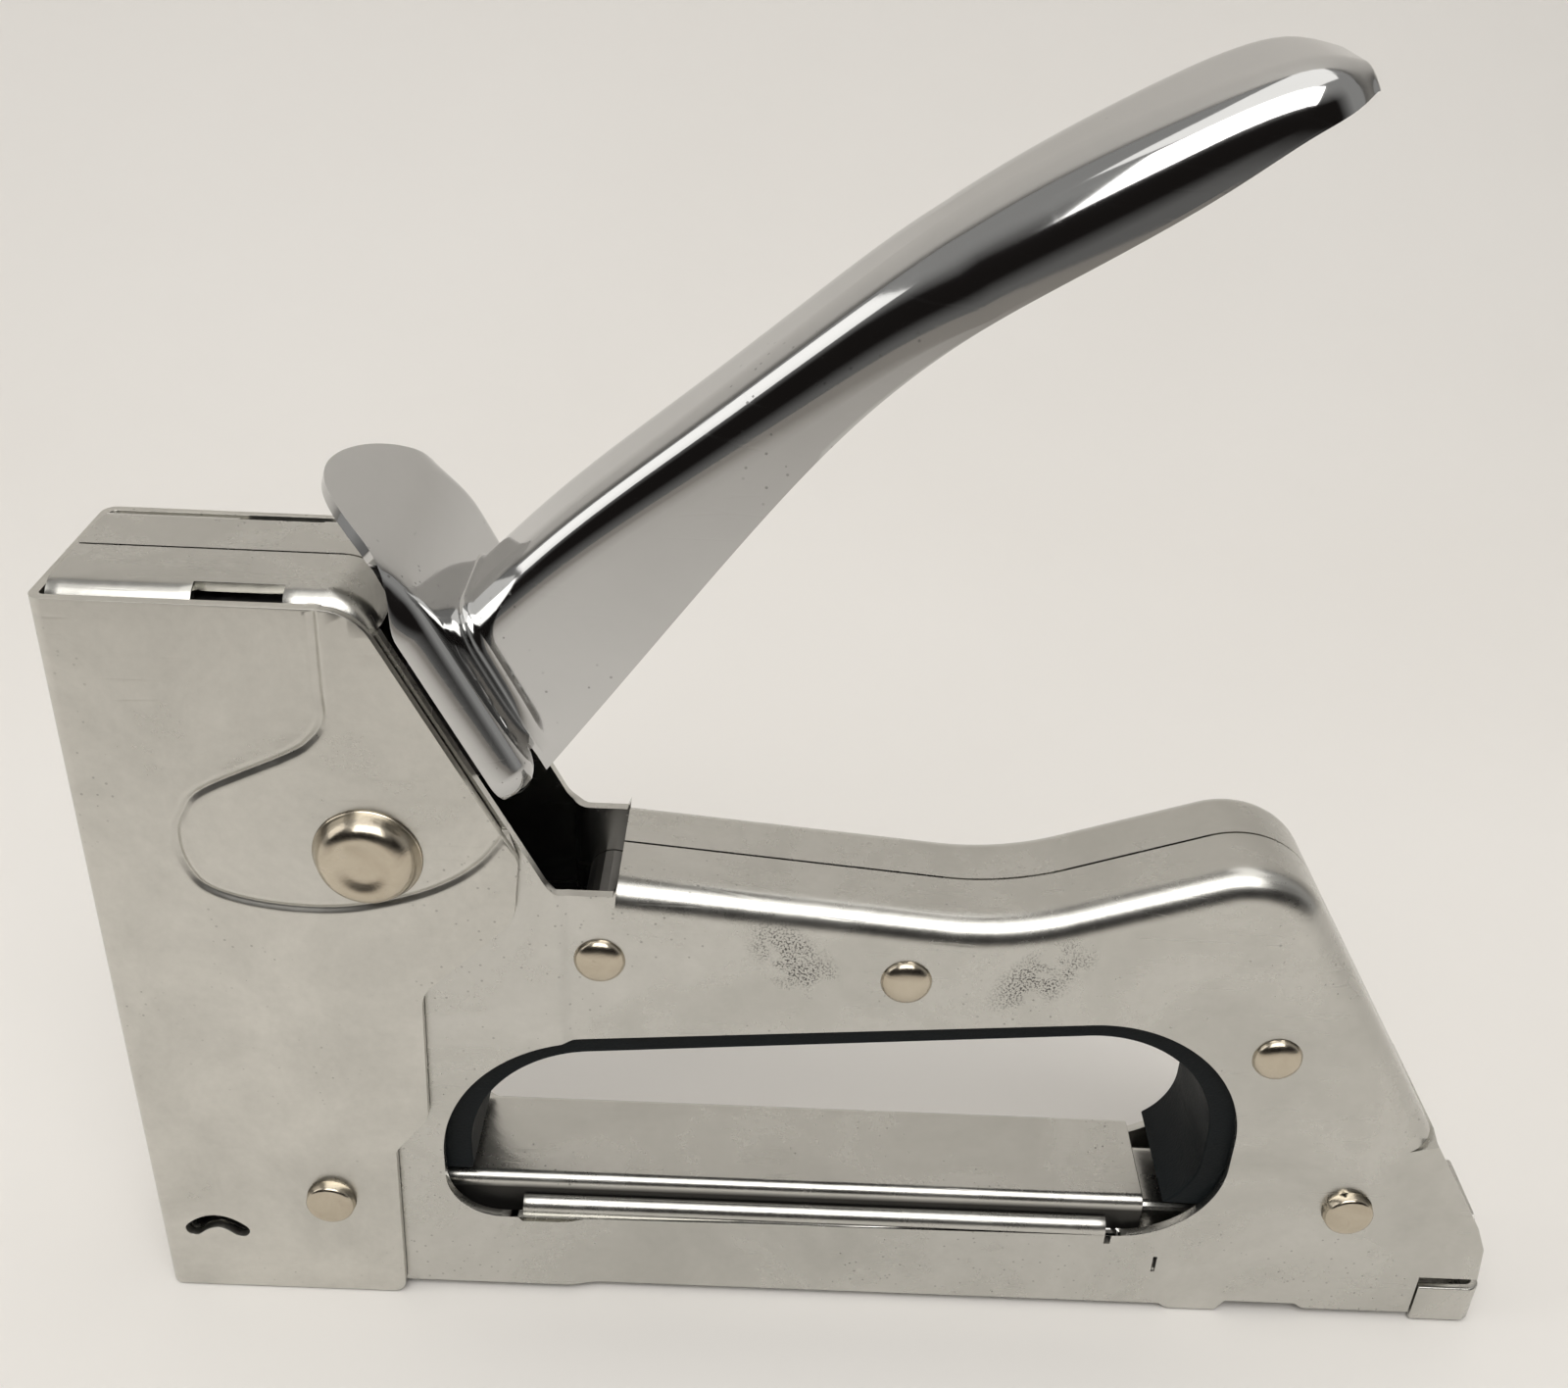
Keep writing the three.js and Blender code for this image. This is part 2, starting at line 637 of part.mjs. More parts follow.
// Stations from the guard to the tip: crown x, z; lower edge x, z; half width; shoulder radius.
const HANDLE_STATIONS = [
  [...fromPivot(17.5, GUARD_FACE - 0.6), ...fromPivot(0.2, GUARD_FACE - 0.6), HANDLE_ROOT_HALF, 3.2],
  [45.0, 93.6, 52.2, 80.4, 7.25, 3.2],
  [57.0, 103.9, 62.5, 94.6, 7.5, 3.6],
  [66.9, 112.4, 71.3, 105.6, 8.0, 4.2],
  [76.1, 120.0, 79.8, 113.5, 8.7, 5.0],
  [84.9, 126.0, 88.1, 119.2, 9.3, 6.0],
  [94.8, 131.4, 98.6, 126.3, 9.6, 4.8],
  [101.0, 134.2, 104.0, 130.2, 9.1, 4.4],
  [105.2, 135.2, 107.2, 131.9, 7.6, 3.2],
  [108.3, 134.8, 109.3, 132.9, 5.0, 1.9],
];

function stationCurves() {
  const pick = (a, b, c) => new THREE.CatmullRomCurve3(HANDLE_STATIONS.map(
    (row) => new THREE.Vector3(row[a], row[b], c === undefined ? 0 : row[c]),
  ));
  return { crown: pick(0, 1), edge: pick(2, 3), width: pick(4, 5) };
}

// One closed section of the handle, rounded at the crown, as points in space.
function handleSection(curves, t, inset, overshoot) {
  const crown = curves.crown.getPoint(t);
  const edge = curves.edge.getPoint(t);
  const size = curves.width.getPoint(t);
  const down = new THREE.Vector2(edge.x - crown.x, edge.y - crown.y);
  const depth = down.length();
  down.normalize();
  const half = size.x - inset;
  const radius = Math.min(Math.max(size.y - inset, 0.5), half - 0.05, depth - 0.1);
  const points = [[-half, depth + overshoot]];
  const arcSteps = 5;
  for (let i = 0; i <= arcSteps; i += 1) {
    const angle = (i / arcSteps) * (Math.PI / 2);
    points.push([-half + radius * (1 - Math.cos(angle)), inset + radius * (1 - Math.sin(angle))]);
  }
  const mirrored = points.map(([y, d]) => [-y, d]).reverse();
  return [...points, ...mirrored].map(([y, d]) => (
    new THREE.Vector3(crown.x + down.x * d, y, crown.y + down.y * d)
  ));
}

function loft(sections) {
  const count = sections[0].length;
  const vertices = sections.flat().flatMap((point) => point.toArray());
  const triangles = [];
  for (let i = 0; i + 1 < sections.length; i += 1) {
    for (let k = 0; k < count; k += 1) {
      const a = i * count + k;
      const b = i * count + ((k + 1) % count);
      triangles.push(a, a + count, b, b, a + count, b + count);
    }
  }
  const last = (sections.length - 1) * count;
  for (let k = 1; k + 1 < count; k += 1) {
    triangles.push(0, k, k + 1, last, last + k + 1, last + k);
  }
  const geometry = new THREE.BufferGeometry();
  geometry.setAttribute('position', new THREE.Float32BufferAttribute(vertices, 3));
  geometry.setIndex(triangles);
  const made = solid(geometry);
  return made.volume() < 0 ? solid(flipped(geometry)) : made;
}

function handleChannel() {
  const curves = stationCurves();
  const steps = 20;
  const outer = [];
  const inner = [];
  for (let i = 0; i <= steps; i += 1) {
    const t = i / steps;
    outer.push(handleSection(curves, t, 0, 0));
    if (t < 0.93) {
      inner.push(handleSection(curves, t, HANDLE_SHEET, 4));
    }
  }
  inner[0].forEach((point) => point.addScaledVector(OUTWARD_3D, -3));
  return { outer: loft(outer), inner: loft(inner) };
}

// The guard's outline (y, along the slope), cut right through.
function guardOutline() {
  const shape = new THREE.Shape();
  const corner = 3.4;
  shape.moveTo(GUARD_HALF - corner, GUARD_LOW);
  shape.absarc(GUARD_HALF - corner, GUARD_LOW + corner, corner, -Math.PI / 2, 0, false);
  shape.absarc(0, GUARD_HIGH - GUARD_HALF, GUARD_HALF, 0, Math.PI, false);
  shape.absarc(-GUARD_HALF + corner, GUARD_LOW + corner, corner, Math.PI, 1.5 * Math.PI, false);
  shape.closePath();
  const flat = new THREE.ExtrudeGeometry(shape, { depth: 20, bevelEnabled: false, curveSegments: 7 });
  return solid(turned(flat.translate(0, 0, 5), AXIS_Y, SLOPE_3D, OUTWARD_3D, PIVOT_3D));
}

// The straight part, whose two long edges are rolled towards the nose.
function guardRims() {
  const section = roundedShape([
    [-GUARD_HALF, GUARD_RIM],
    [-GUARD_HALF + HANDLE_SHEET, GUARD_RIM],
    [-GUARD_HALF + HANDLE_SHEET, GUARD_FACE - HANDLE_SHEET, GUARD_ROLL - HANDLE_SHEET],
    [GUARD_HALF - HANDLE_SHEET, GUARD_FACE - HANDLE_SHEET, GUARD_ROLL - HANDLE_SHEET],
    [GUARD_HALF - HANDLE_SHEET, GUARD_RIM],
    [GUARD_HALF, GUARD_RIM],
    [GUARD_HALF, GUARD_FACE, GUARD_ROLL],
    [-GUARD_HALF, GUARD_FACE, GUARD_ROLL],
  ].map(([y, square, radius]) => [square, y, radius]));
  const depth = GUARD_CURL_START;
  const flat = new THREE.ExtrudeGeometry(section, { depth, bevelEnabled: false, curveSegments: 3 });
  return solid(turned(flat, OUTWARD_3D, AXIS_Y, SLOPE_3D, PIVOT_3D));
}

// The tab above the handle, curled towards the nose.
function guardTab() {
  const shape = new THREE.Shape();
  const centre = GUARD_FACE - GUARD_CURL;
  const turn = Math.PI / 2 - 0.85;
  shape.moveTo(GUARD_CURL_START - 0.4, GUARD_FACE - HANDLE_SHEET);
  shape.lineTo(GUARD_CURL_START - 0.4, GUARD_FACE);
  shape.absarc(GUARD_CURL_START, centre, GUARD_CURL, Math.PI / 2, turn, true);
  shape.absarc(GUARD_CURL_START, centre, GUARD_CURL - HANDLE_SHEET, turn, Math.PI / 2, false);
  shape.closePath();
  const flat = new THREE.ExtrudeGeometry(shape, { depth: 30, bevelEnabled: false, curveSegments: 5 });
  return solid(turned(flat.translate(0, 0, -15), SLOPE_3D, OUTWARD_3D, AXIS_Y, PIVOT_3D));
}

// A box given by ranges along y, along the slope and square to it.
function slopeBox(y0, y1, along0, along1, square0, square1) {
  const geometry = new THREE.BoxGeometry(y1 - y0, along1 - along0, square1 - square0);
  geometry.translate((y0 + y1) / 2, (along0 + along1) / 2, (square0 + square1) / 2);
  return solid(turned(geometry, AXIS_Y, SLOPE_3D, OUTWARD_3D, PIVOT_3D));
}

function addHandle() {
  const channel = handleChannel();
  const guard = guardRims().add(guardTab()).intersect(guardOutline());
  const opening = HANDLE_ROOT_HALF - HANDLE_SHEET;
  let handle = guard.add(channel.outer).subtract(channel.inner);
  handle = handle.subtract(slopeBox(-opening, opening, -5, 16.4, 10, 22));
  addPiece('handle', 'chrome', handle);
}

// ---------------------------------------------------------------- magazine

// An inverted channel along x with rounded shoulders.
function channelSection(half, top, bottom, sheet, radius) {
  return roundedShape([
    [-half, bottom],
    [-half + sheet, bottom],
    [-half + sheet, top - sheet, radius - sheet],
    [half - sheet, top - sheet, radius - sheet],
    [half - sheet, bottom],
    [half, bottom],
    [half, top, radius],
    [-half, top, radius],
  ]);
}

function addMagazine() {
  const cover = run(channelSection(MAGAZINE_HALF, MAGAZINE_TOP, 1.4, 0.8, 1.3), 4.6, MAGAZINE_END);
  addPiece('magazine_cover', 'zinc', cover);
  let rail = run(channelSection(RAIL_HALF, RAIL_TOP, 1.2, 0.8, 1.1), 5.4, RAIL_END);
  rail = rail.subtract(box(12.0, 95.0, -1.3, 1.3, 10.0, 16.0));
  addPiece('magazine_rail', 'zinc', rail);
  let endBlock = box(142.3, 146.9, -RAIL_HALF + 1.1, RAIL_HALF - 1.1, 2.0, RAIL_TOP - 1.2);
  endBlock = endBlock.subtract(alongX(1.0 + FIT, 140, 150, ROD_HEIGHT));
  addPiece('rod_block', 'black_plastic', endBlock);
  addPiece('guide_rod', 'tool_steel', alongX(1.0, 8.0, 146.4, ROD_HEIGHT, 10));
  let pusher = run(channelSection(5.5, 14.1, 7.0, 0.5, 0.9), 5.6, 19.6);
  pusher = pusher.add(box(15.0, 17.4, -1.0, 1.0, 9.0, 13.9)).add(box(15.0, 17.4, -2.4, 2.4, 4.5, 10.6));
  pusher = pusher.subtract(alongX(1.0 + GAP, 0, 40, ROD_HEIGHT));
  addPiece('pusher', 'tool_steel', pusher);
  const from = new THREE.Vector3(18.0, 0, ROD_HEIGHT);
  addPiece('pusher_spring', 'spring', coil(from, AXIS_X, 2.3, 0.35, 123.6, 18, 4));
}

// The spring clip on the rail's end: a rear wall, and an ear on each side to pinch.
function addRailLatch() {
  const ears = roundedShape([
    [-GRIP_HALF - 0.9, 0.0, 0.6],
    [GRIP_HALF + 0.9, 0.0, 0.6],
    [GRIP_HALF + 0.9, 5.6, 0.8],
    [-GRIP_HALF - 0.9, 5.6, 0.8],
  ]);
  const inside = roundedShape([
    [-GRIP_HALF, -1.0],
    [GRIP_HALF, -1.0],
    [GRIP_HALF, 7.0],
    [-GRIP_HALF, 7.0],
  ]);
  const outer = run(ears, 141.8, LENGTH);
  const clip = outer.subtract(run(inside, 140.0, LENGTH - 1.0));
  addPiece('rail_latch', 'zinc', clip);
}

addBodyHalves();
addFrontCover();
addRivets();
addFingerLiner();
addNoseInternals();
addPlunger();
addLever();
addHandle();
addMagazine();
addRailLatch();

export default gun;
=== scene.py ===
# %% [markdown]
# # A pressed-steel staple gun
#
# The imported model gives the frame: every body, every piece and its place, in metres.
# This lesson loads it, then makes each visible piece again as finer sheet metal, one cell at a time.

# %% Load the frame
import math

import bmesh
import bpy
import numpy as np
from mathutils import Matrix, Vector
from mathutils.geometry import delaunay_2d_cdt


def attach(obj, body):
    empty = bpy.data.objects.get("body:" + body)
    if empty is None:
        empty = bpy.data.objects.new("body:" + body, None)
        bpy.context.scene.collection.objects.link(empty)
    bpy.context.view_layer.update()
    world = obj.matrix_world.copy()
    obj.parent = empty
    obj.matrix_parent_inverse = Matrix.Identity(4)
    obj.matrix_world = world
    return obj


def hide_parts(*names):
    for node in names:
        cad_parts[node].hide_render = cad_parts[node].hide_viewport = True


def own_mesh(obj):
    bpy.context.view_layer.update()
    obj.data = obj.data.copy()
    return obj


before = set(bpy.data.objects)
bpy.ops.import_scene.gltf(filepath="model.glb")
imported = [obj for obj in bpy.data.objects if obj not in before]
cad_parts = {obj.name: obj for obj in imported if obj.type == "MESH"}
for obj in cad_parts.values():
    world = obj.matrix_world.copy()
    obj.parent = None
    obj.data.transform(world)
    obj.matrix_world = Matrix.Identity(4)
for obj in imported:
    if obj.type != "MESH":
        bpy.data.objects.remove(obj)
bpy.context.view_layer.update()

# %% [markdown]
# ## Measures of the gun
#
# A maker's drawing runs from the nose (x = 0) to the heel, in millimetres.
# The frame has its origin in the middle of the base, so one small function moves a drawing point into it.

# %% Drawing measures
LENGTH = 148.6
NOSE_TOP = 87.9
SHEET = 1.0
NOSE_HALF, GRIP_HALF, COVER_HALF = 8.7, 8.1, 9.8
COVER_SHEET = 0.9
SEAM = 0.15
GRIP_FOLD, NOSE_FOLD = 3.0, 2.5
JOGGLE = 45.7
PIVOT = np.array([27.6, 61.0])
SLOPE_RUN, SLOPE_ANGLE = 13.1, math.radians(62.9)
SLOPE = np.array([-math.cos(SLOPE_ANGLE), math.sin(SLOPE_ANGLE)])
OUTWARD = np.array([SLOPE[1], -SLOPE[0]])
GUARD_HALF, GUARD_FACE, GUARD_LOW, GUARD_HIGH = 13.6, 19.7, 0.8, 33.2
GUARD_CURL, GUARD_ROLL, GUARD_RIM = 19.0, 2.8, 0.5
CURL_START = GUARD_HIGH - GUARD_HALF
MAGAZINE_TOP, MAGAZINE_HALF = 15.4, 6.5


def metres(points):
    """Drawing points (x, y, z) in millimetres as frame points in metres."""
    return (np.asarray(points, float) - (LENGTH / 2, 0, 0)) / 1000


def from_pivot(along, square):
    """The side-view point that lies so far along the slope and square to it, from the pivot."""
    return PIVOT + along * SLOPE + square * OUTWARD


def eased(share):
    """A share from 0 to 1 made to start and end gently."""
    return share * share * (3 - 2 * share)


def slope_at(height, square=SLOPE_RUN):
    """Where the sloping rear edge of the nose crosses a height."""
    along = (height - PIVOT[1] - square * OUTWARD[1]) / SLOPE[1]
    return float(from_pivot(along, square)[0])


print("slope crosses the top at x =", round(slope_at(NOSE_TOP), 2), "mm")

# %% [markdown]
# ## Outlines with rounded corners
#
# Sheet parts are blanked from a flat outline first. A corner is given as (x, z, radius),
# and an arc is laid into it, which is how a draughtsman would draw it.

# %% Outline helpers
def rounded(corners, closed=True, step=0.4):
    """The corners (a, b, radius) as a fine line of points, each corner rounded by an arc."""
    count = len(corners)
    points = []
    for i, corner in enumerate(corners):
        here = np.array(corner[:2], float)
        radius = corner[2] if len(corner) > 2 else 0
        if radius <= 0 or (not closed and i in (0, count - 1)):
            points.append(here)
            continue
        back = np.array(corners[i - 1][:2]) - here
        ahead = np.array(corners[(i + 1) % count][:2]) - here
        back /= np.linalg.norm(back)
        ahead /= np.linalg.norm(ahead)
        half = math.acos(np.clip(back @ ahead, -1, 1)) / 2
        middle = (back + ahead) / np.linalg.norm(back + ahead)
        centre = here + middle * radius / math.sin(half)
        start = here + back * radius / math.tan(half) - centre
        end = here + ahead * radius / math.tan(half) - centre
        first = math.atan2(start[1], start[0])
        sweep = (math.atan2(end[1], end[0]) - first + math.pi) % (2 * math.pi) - math.pi
        parts = max(4, int(abs(sweep) * radius / step))
        for k in range(parts + 1):
            angle = first + sweep * k / parts
            points.append(centre + radius * np.array([math.cos(angle), math.sin(angle)]))
    return np.array(points)


def divided(line, step):
    """The same line with no gap between points longer than a step."""
    points = [line[0]]
    for a, b in zip(line[:-1], line[1:]):
        parts = max(1, math.ceil(np.linalg.norm(b - a) / step))
        points += [a + (b - a) * k / parts for k in range(1, parts + 1)]
    return np.array(points)


def normals_of(line):
    """A square direction at each point of an open line, on its left."""
    along = np.gradient(line, axis=0)
    along /= np.linalg.norm(along, axis=1)[:, None]
    return np.stack([-along[:, 1], along[:, 0]], 1)


def gaps_to(points, line):
    """How far each point is from an open line."""
    a, b = line[:-1], line[1:]
    run = b - a
    share = ((points[:, None] - a) * run).sum(2) / (run * run).sum(1)
    foot = a + np.clip(share, 0, 1)[..., None] * run
    return np.linalg.norm(points[:, None] - foot, axis=2).min(1)


def is_inside(points, loops):
    """Whether each point is inside the first loop and outside the others."""
    inside = np.zeros(len(points), bool)
    for loop in loops:
        a, b = loop, np.roll(loop, -1, 0)
        height = points[:, 1:2]
        crosses = (a[:, 1] > height) != (b[:, 1] > height)
        rise = np.where(np.abs(b[:, 1] - a[:, 1]) < 1e-12, 1e-12, b[:, 1] - a[:, 1])
        at = a[:, 0] + (height - a[:, 1]) / rise * (b[:, 0] - a[:, 0])
        inside ^= (crosses & (points[:, 0:1] < at)).sum(1) % 2 == 1
    return inside


def fill(loops, more=()):
    """Flat points and triangles that fill the first loop less the others."""
    corners, edges = [], []
    for loop in loops:
        start, count = len(corners), len(loop)
        corners += [Vector(p) for p in loop]
        edges += [(start + i, start + (i + 1) % count) for i in range(count)]
    corners += [Vector(p) for p in more]
    flat, _, triangles, *_ = delaunay_2d_cdt(corners, edges, [], 0, 1e-5)
    flat = np.array([tuple(p) for p in flat])
    centres = flat[np.array(triangles)].mean(1)
    kept = [t for t, inside in zip(triangles, is_inside(centres, loops)) if inside]
    return flat, kept

# %% [markdown]
# ## From an outline to a sheet of steel
#
# A real sheet is one skin with the same thickness everywhere and a sheared edge.
# So only the outer skin is drawn here. Solidify gives it the wall, and a small bevel breaks the cut edge.
# The normals are weighted by face area, so large flat faces stay flat under reflections.

# %% Sheet helpers
class Skin:
    """Points in drawing millimetres, and the faces between them."""

    def __init__(self):
        self.points, self.faces = [], []

    def add(self, points, faces):
        base = len(self.points)
        self.points += [tuple(map(float, p)) for p in points]
        self.faces += [[base + i for i in face] for face in faces]

    def add_mirror(self, skin):
        """The points and faces of a skin, on the other side of the gun."""
        self.add([(x, -y, z) for x, y, z in skin.points], skin.faces)

    def add_rows(self, rows, left_out=lambda i, k: False):
        """A net of four-sided faces between rows of points."""
        width = len(rows[0])
        faces = [
            (i * width + k, i * width + k + 1, (i + 1) * width + k + 1, (i + 1) * width + k)
            for i in range(len(rows) - 1) for k in range(width - 1) if not left_out(i, k)
        ]
        self.add([p for row in rows for p in row], faces)

    def welded(self, outward):
        """The same skin with shared points merged and its faces turned to face outward."""
        work = bmesh.new()
        made = [work.verts.new(p) for p in self.points]
        for face in self.faces:
            work.faces.new([made[i] for i in face])
        bmesh.ops.remove_doubles(work, verts=work.verts[:], dist=0.004)
        loose = [v for v in work.verts if not v.link_faces]
        bmesh.ops.delete(work, geom=loose, context="VERTS")
        bmesh.ops.recalc_face_normals(work, faces=work.faces[:])
        total = sum((f.normal * f.calc_area() for f in work.faces), Vector())
        if total.dot(Vector(outward)) < 0:
            bmesh.ops.reverse_faces(work, faces=work.faces[:])
        work.verts.index_update()
        skin = Skin()
        skin.points = [tuple(v.co) for v in work.verts]
        skin.faces = [[v.index for v in face.verts] for face in work.faces]
        work.free()
        return skin


def net_skin(rows, outward):
    """The skin of one net of rows."""
    skin = Skin()
    skin.add_rows(rows)
    return skin.welded(outward)


def mesh_of(name, skins):
    """One mesh of several skins, in metres, shaded smooth."""
    whole = Skin()
    for skin in skins:
        whole.add(skin.points, skin.faces)
    mesh = bpy.data.meshes.new(name)
    mesh.from_pydata(metres(whole.points).tolist(), [], whole.faces)
    mesh.shade_smooth()
    return mesh


def placed(name, data):
    """A new object in the scene."""
    made = bpy.data.objects.new(name, data)
    bpy.context.scene.collection.objects.link(made)
    return made


def worked_out(worked):
    """The plain mesh that an object's modifiers make. The object itself is removed."""
    graph = bpy.context.evaluated_depsgraph_get()
    result = bpy.data.meshes.new_from_object(worked.evaluated_get(graph))
    bpy.data.objects.remove(worked)
    return result


def baked(mesh, *steps):
    """The plain mesh that modifiers (kind, settings) make of a mesh."""
    worked = placed("worked", mesh)
    for kind, settings in steps:
        modifier = worked.modifiers.new(kind, kind)
        for key, value in settings.items():
            setattr(modifier, key, value)
    return worked_out(worked)


def sheet_mesh(name, skins, thickness, edge=0.14, even=True, segments=2):
    """Skins given a wall on their inside and a small round on each cut edge."""
    return baked(
        mesh_of(name, skins),
        ("SOLIDIFY", {"thickness": thickness / 1000, "offset": -1, "use_even_offset": even}),
        ("BEVEL", {"width": edge / 1000, "segments": segments, "limit_method": "ANGLE",
                   "angle_limit": math.radians(55)}),
        ("WEIGHTED_NORMAL", {"keep_sharp": True}),
    )


def finished(name, mesh, finish, body, nodes):
    """A piece of the gun: its mesh, its finish, its body and the model nodes it stands for."""
    mesh.name = name
    piece = placed(name, mesh)
    mesh.materials.clear()
    mesh.materials.append(finish)
    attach(piece, body)
    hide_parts(*nodes)
    print(name, len(mesh.polygons), "faces")
    return piece

# %% [markdown]
# ## Finishes
#
# Plated steel is never even: it has faint mottling from the bath, fine rubbing marks, small pits and
# here and there a smudge. Four node groups make those effects once, and each finish uses them with its
# own amounts. The helpers below make a node, and set or link its inputs, in one line.

# %% Node helpers
def add_node(tree, kind, values=(), **settings):
    """A node with its properties set, and each input set to a value or linked to a socket."""
    node = tree.nodes.new(kind)
    for key, value in settings.items():
        setattr(node, key, value)
    for key, value in dict(values).items():
        if isinstance(value, bpy.types.NodeSocket):
            tree.links.new(value, node.inputs[key])
        else:
            node.inputs[key].default_value = value
    return node


def new_tree(kind, name, inputs, outputs):
    """A node tree with named inputs (name, kind, default) and outputs (name, kind), and its end sockets."""
    tree = bpy.data.node_groups.new(name, kind)
    for label, socket, default in inputs:
        made = tree.interface.new_socket(label, in_out="INPUT", socket_type="NodeSocket" + socket)
        if default is not None:
            made.default_value = default
    for label, socket in outputs:
        tree.interface.new_socket(label, in_out="OUTPUT", socket_type="NodeSocket" + socket)
    return tree, tree.nodes.new("NodeGroupInput").outputs, tree.nodes.new("NodeGroupOutput").inputs


def effect_tree(name, inputs, outputs=("Mask",)):
    """A shader group that turns a place, and some numbers (name, default), into values."""
    floats = [(label, "Float", default) for label, default in inputs]
    return new_tree("ShaderNodeTree", name, [("Vector", "Vector", None), *floats],
                    [(label, "Float") for label in outputs])


def combined(tree, operation, *values):
    """Values, each a socket or a number, combined one after another by math nodes."""
    result = values[0]
    for value in values[1:]:
        result = add_node(tree, "ShaderNodeMath", {0: result, 1: value}, operation=operation).outputs[0]
    return result


def times(tree, *values):
    """The product of several values."""
    return combined(tree, "MULTIPLY", *values)


def remapped(tree, value, low, high, to_low, to_high):
    """A value moved from one range to another, and held there."""
    return add_node(tree, "ShaderNodeMapRange", {
        "Value": value, "From Min": low, "From Max": high, "To Min": to_low, "To Max": to_high,
    }).outputs["Result"]


def noise(tree, where, scale, detail, **more):
    """The value of a noise texture at a place."""
    values = {"Vector": where, "Scale": scale, "Detail": detail, **more}
    return add_node(tree, "ShaderNodeTexNoise", values).outputs["Fac"]


def toned(tree, factor, *colours):
    """Two colours, each three numbers or a socket, mixed by a factor."""
    a, b = [(*colour, 1) if isinstance(colour, tuple) else colour for colour in colours]
    values = {"Factor": factor, "A": a, "B": b}
    return add_node(tree, "ShaderNodeMix", values, data_type="RGBA").outputs["Result"]


def parts_of(tree, place):
    """The x, y and z of a place."""
    return add_node(tree, "ShaderNodeSeparateXYZ", {0: place}).outputs

# %% Mottling, rub marks, pits and smudges
def mottling_tree():
    """Cloudy patches with a finer grain in them, from 0 to 1."""
    tree, given, out = effect_tree("mottling", [("Scale", 90), ("Grain", 0.5)], ["Value", "Height"])
    cloud = noise(tree, given["Vector"], given["Scale"], 5, Roughness=0.62, Distortion=0.6)
    grain = noise(tree, given["Vector"], times(tree, given["Scale"], 14), 3, Roughness=0.7)
    soft = times(tree, remapped(tree, cloud, 0.32, 0.68, 0, 1), 0.7)
    fine = times(tree, grain, given["Grain"], 0.6)
    tree.links.new(combined(tree, "ADD", soft, fine), out["Value"])
    tree.links.new(cloud, out["Height"])
    return tree


def rub_marks_tree():
    """Thin straight scratches in three directions, as a mask."""
    tree, given, out = effect_tree("rub marks", [("Density", 0.5)])
    masks = []
    for turn, scale in ((0.9, 260), (-0.35, 330), (2.2, 410)):
        place = add_node(tree, "ShaderNodeMapping", {
            "Vector": given["Vector"], "Rotation": (0, turn, 0), "Scale": (0.05, 1, 1)})
        lines = add_node(tree, "ShaderNodeTexVoronoi", {
            "Vector": place.outputs["Vector"], "Scale": scale, "Randomness": 1.0}, feature="DISTANCE_TO_EDGE")
        thin = remapped(tree, lines.outputs["Distance"], 0.0, 0.035, 1, 0)
        some = remapped(tree, noise(tree, given["Vector"], 70 + scale / 8, 2), 0.56, 0.66, 0, 1)
        masks.append(times(tree, thin, some))
    joined = combined(tree, "MAXIMUM", *masks)
    tree.links.new(times(tree, joined, given["Density"]), out["Mask"])
    return tree


def pits_tree():
    """Small scattered specks of dirt and pitting, as a mask."""
    tree, given, out = effect_tree("pits", [])
    cells = add_node(tree, "ShaderNodeTexVoronoi", {
        "Vector": given["Vector"], "Scale": 900, "Randomness": 1.0})
    near = combined(tree, "LESS_THAN", cells.outputs["Distance"], 0.12)
    some = remapped(tree, noise(tree, given["Vector"], 55, 3), 0.52, 0.6, 0, 1)
    tree.links.new(times(tree, near, some), out["Mask"])
    return tree


def smudge_tree():
    """Two stippled, leaning patches of old ink on the near side of the grip, as a mask."""
    tree, given, out = effect_tree("ink smudges", [("Strength", 0)])
    x, y, z = parts_of(tree, given["Vector"])
    patches = []
    for middle_x, middle_z, lean in ((-0.0058, 0.0490, 0.5), (0.0192, 0.0480, -0.6)):
        up = combined(tree, "SUBTRACT", z, middle_z)
        along = combined(tree, "SUBTRACT", x, middle_x)
        across = combined(tree, "ADD", along, times(tree, up, lean))
        squares = [combined(tree, "POWER", combined(tree, "DIVIDE", offset, reach), 2)
                   for offset, reach in ((across, 0.0036), (up, 0.0042))]
        patches.append(remapped(tree, combined(tree, "ADD", *squares), 0.3, 1.6, 1, 0))
    dots = remapped(tree, noise(tree, given["Vector"], 4200, 2, Roughness=0.6), 0.50, 0.58, 0, 1)
    torn = remapped(tree, noise(tree, given["Vector"], 420, 2), 0.40, 0.56, 0, 1)
    near = combined(tree, "LESS_THAN", y, 0)
    patch = combined(tree, "MAXIMUM", *patches)
    tree.links.new(times(tree, dots, torn, patch, near, given["Strength"]), out["Mask"])
    return tree


MOTTLING, RUB_MARKS, PITS, SMUDGES = mottling_tree(), rub_marks_tree(), pits_tree(), smudge_tree()
print("node groups:", [g.name for g in bpy.data.node_groups])

# %% [markdown]
# ## One recipe for the plated metals
#
# Each finish starts from two tones that the mottling mixes, and its roughness follows the same clouds.
# On a metal the marks and dirt then darken and dull it a little, and a very shallow bump bends the
# reflections as thin sheet does. Low on the magazine's sides, painted shade darkens it as well.

# %% Metals
def new_finish(name):
    """A new finish with its tree, its shader's inputs and the place on the object."""
    finish = bpy.data.materials.new(name)
    finish.use_nodes = True
    tree = finish.node_tree
    where = add_node(tree, "ShaderNodeTexCoord").outputs["Object"]
    return finish, tree, tree.nodes["Principled BSDF"].inputs, where


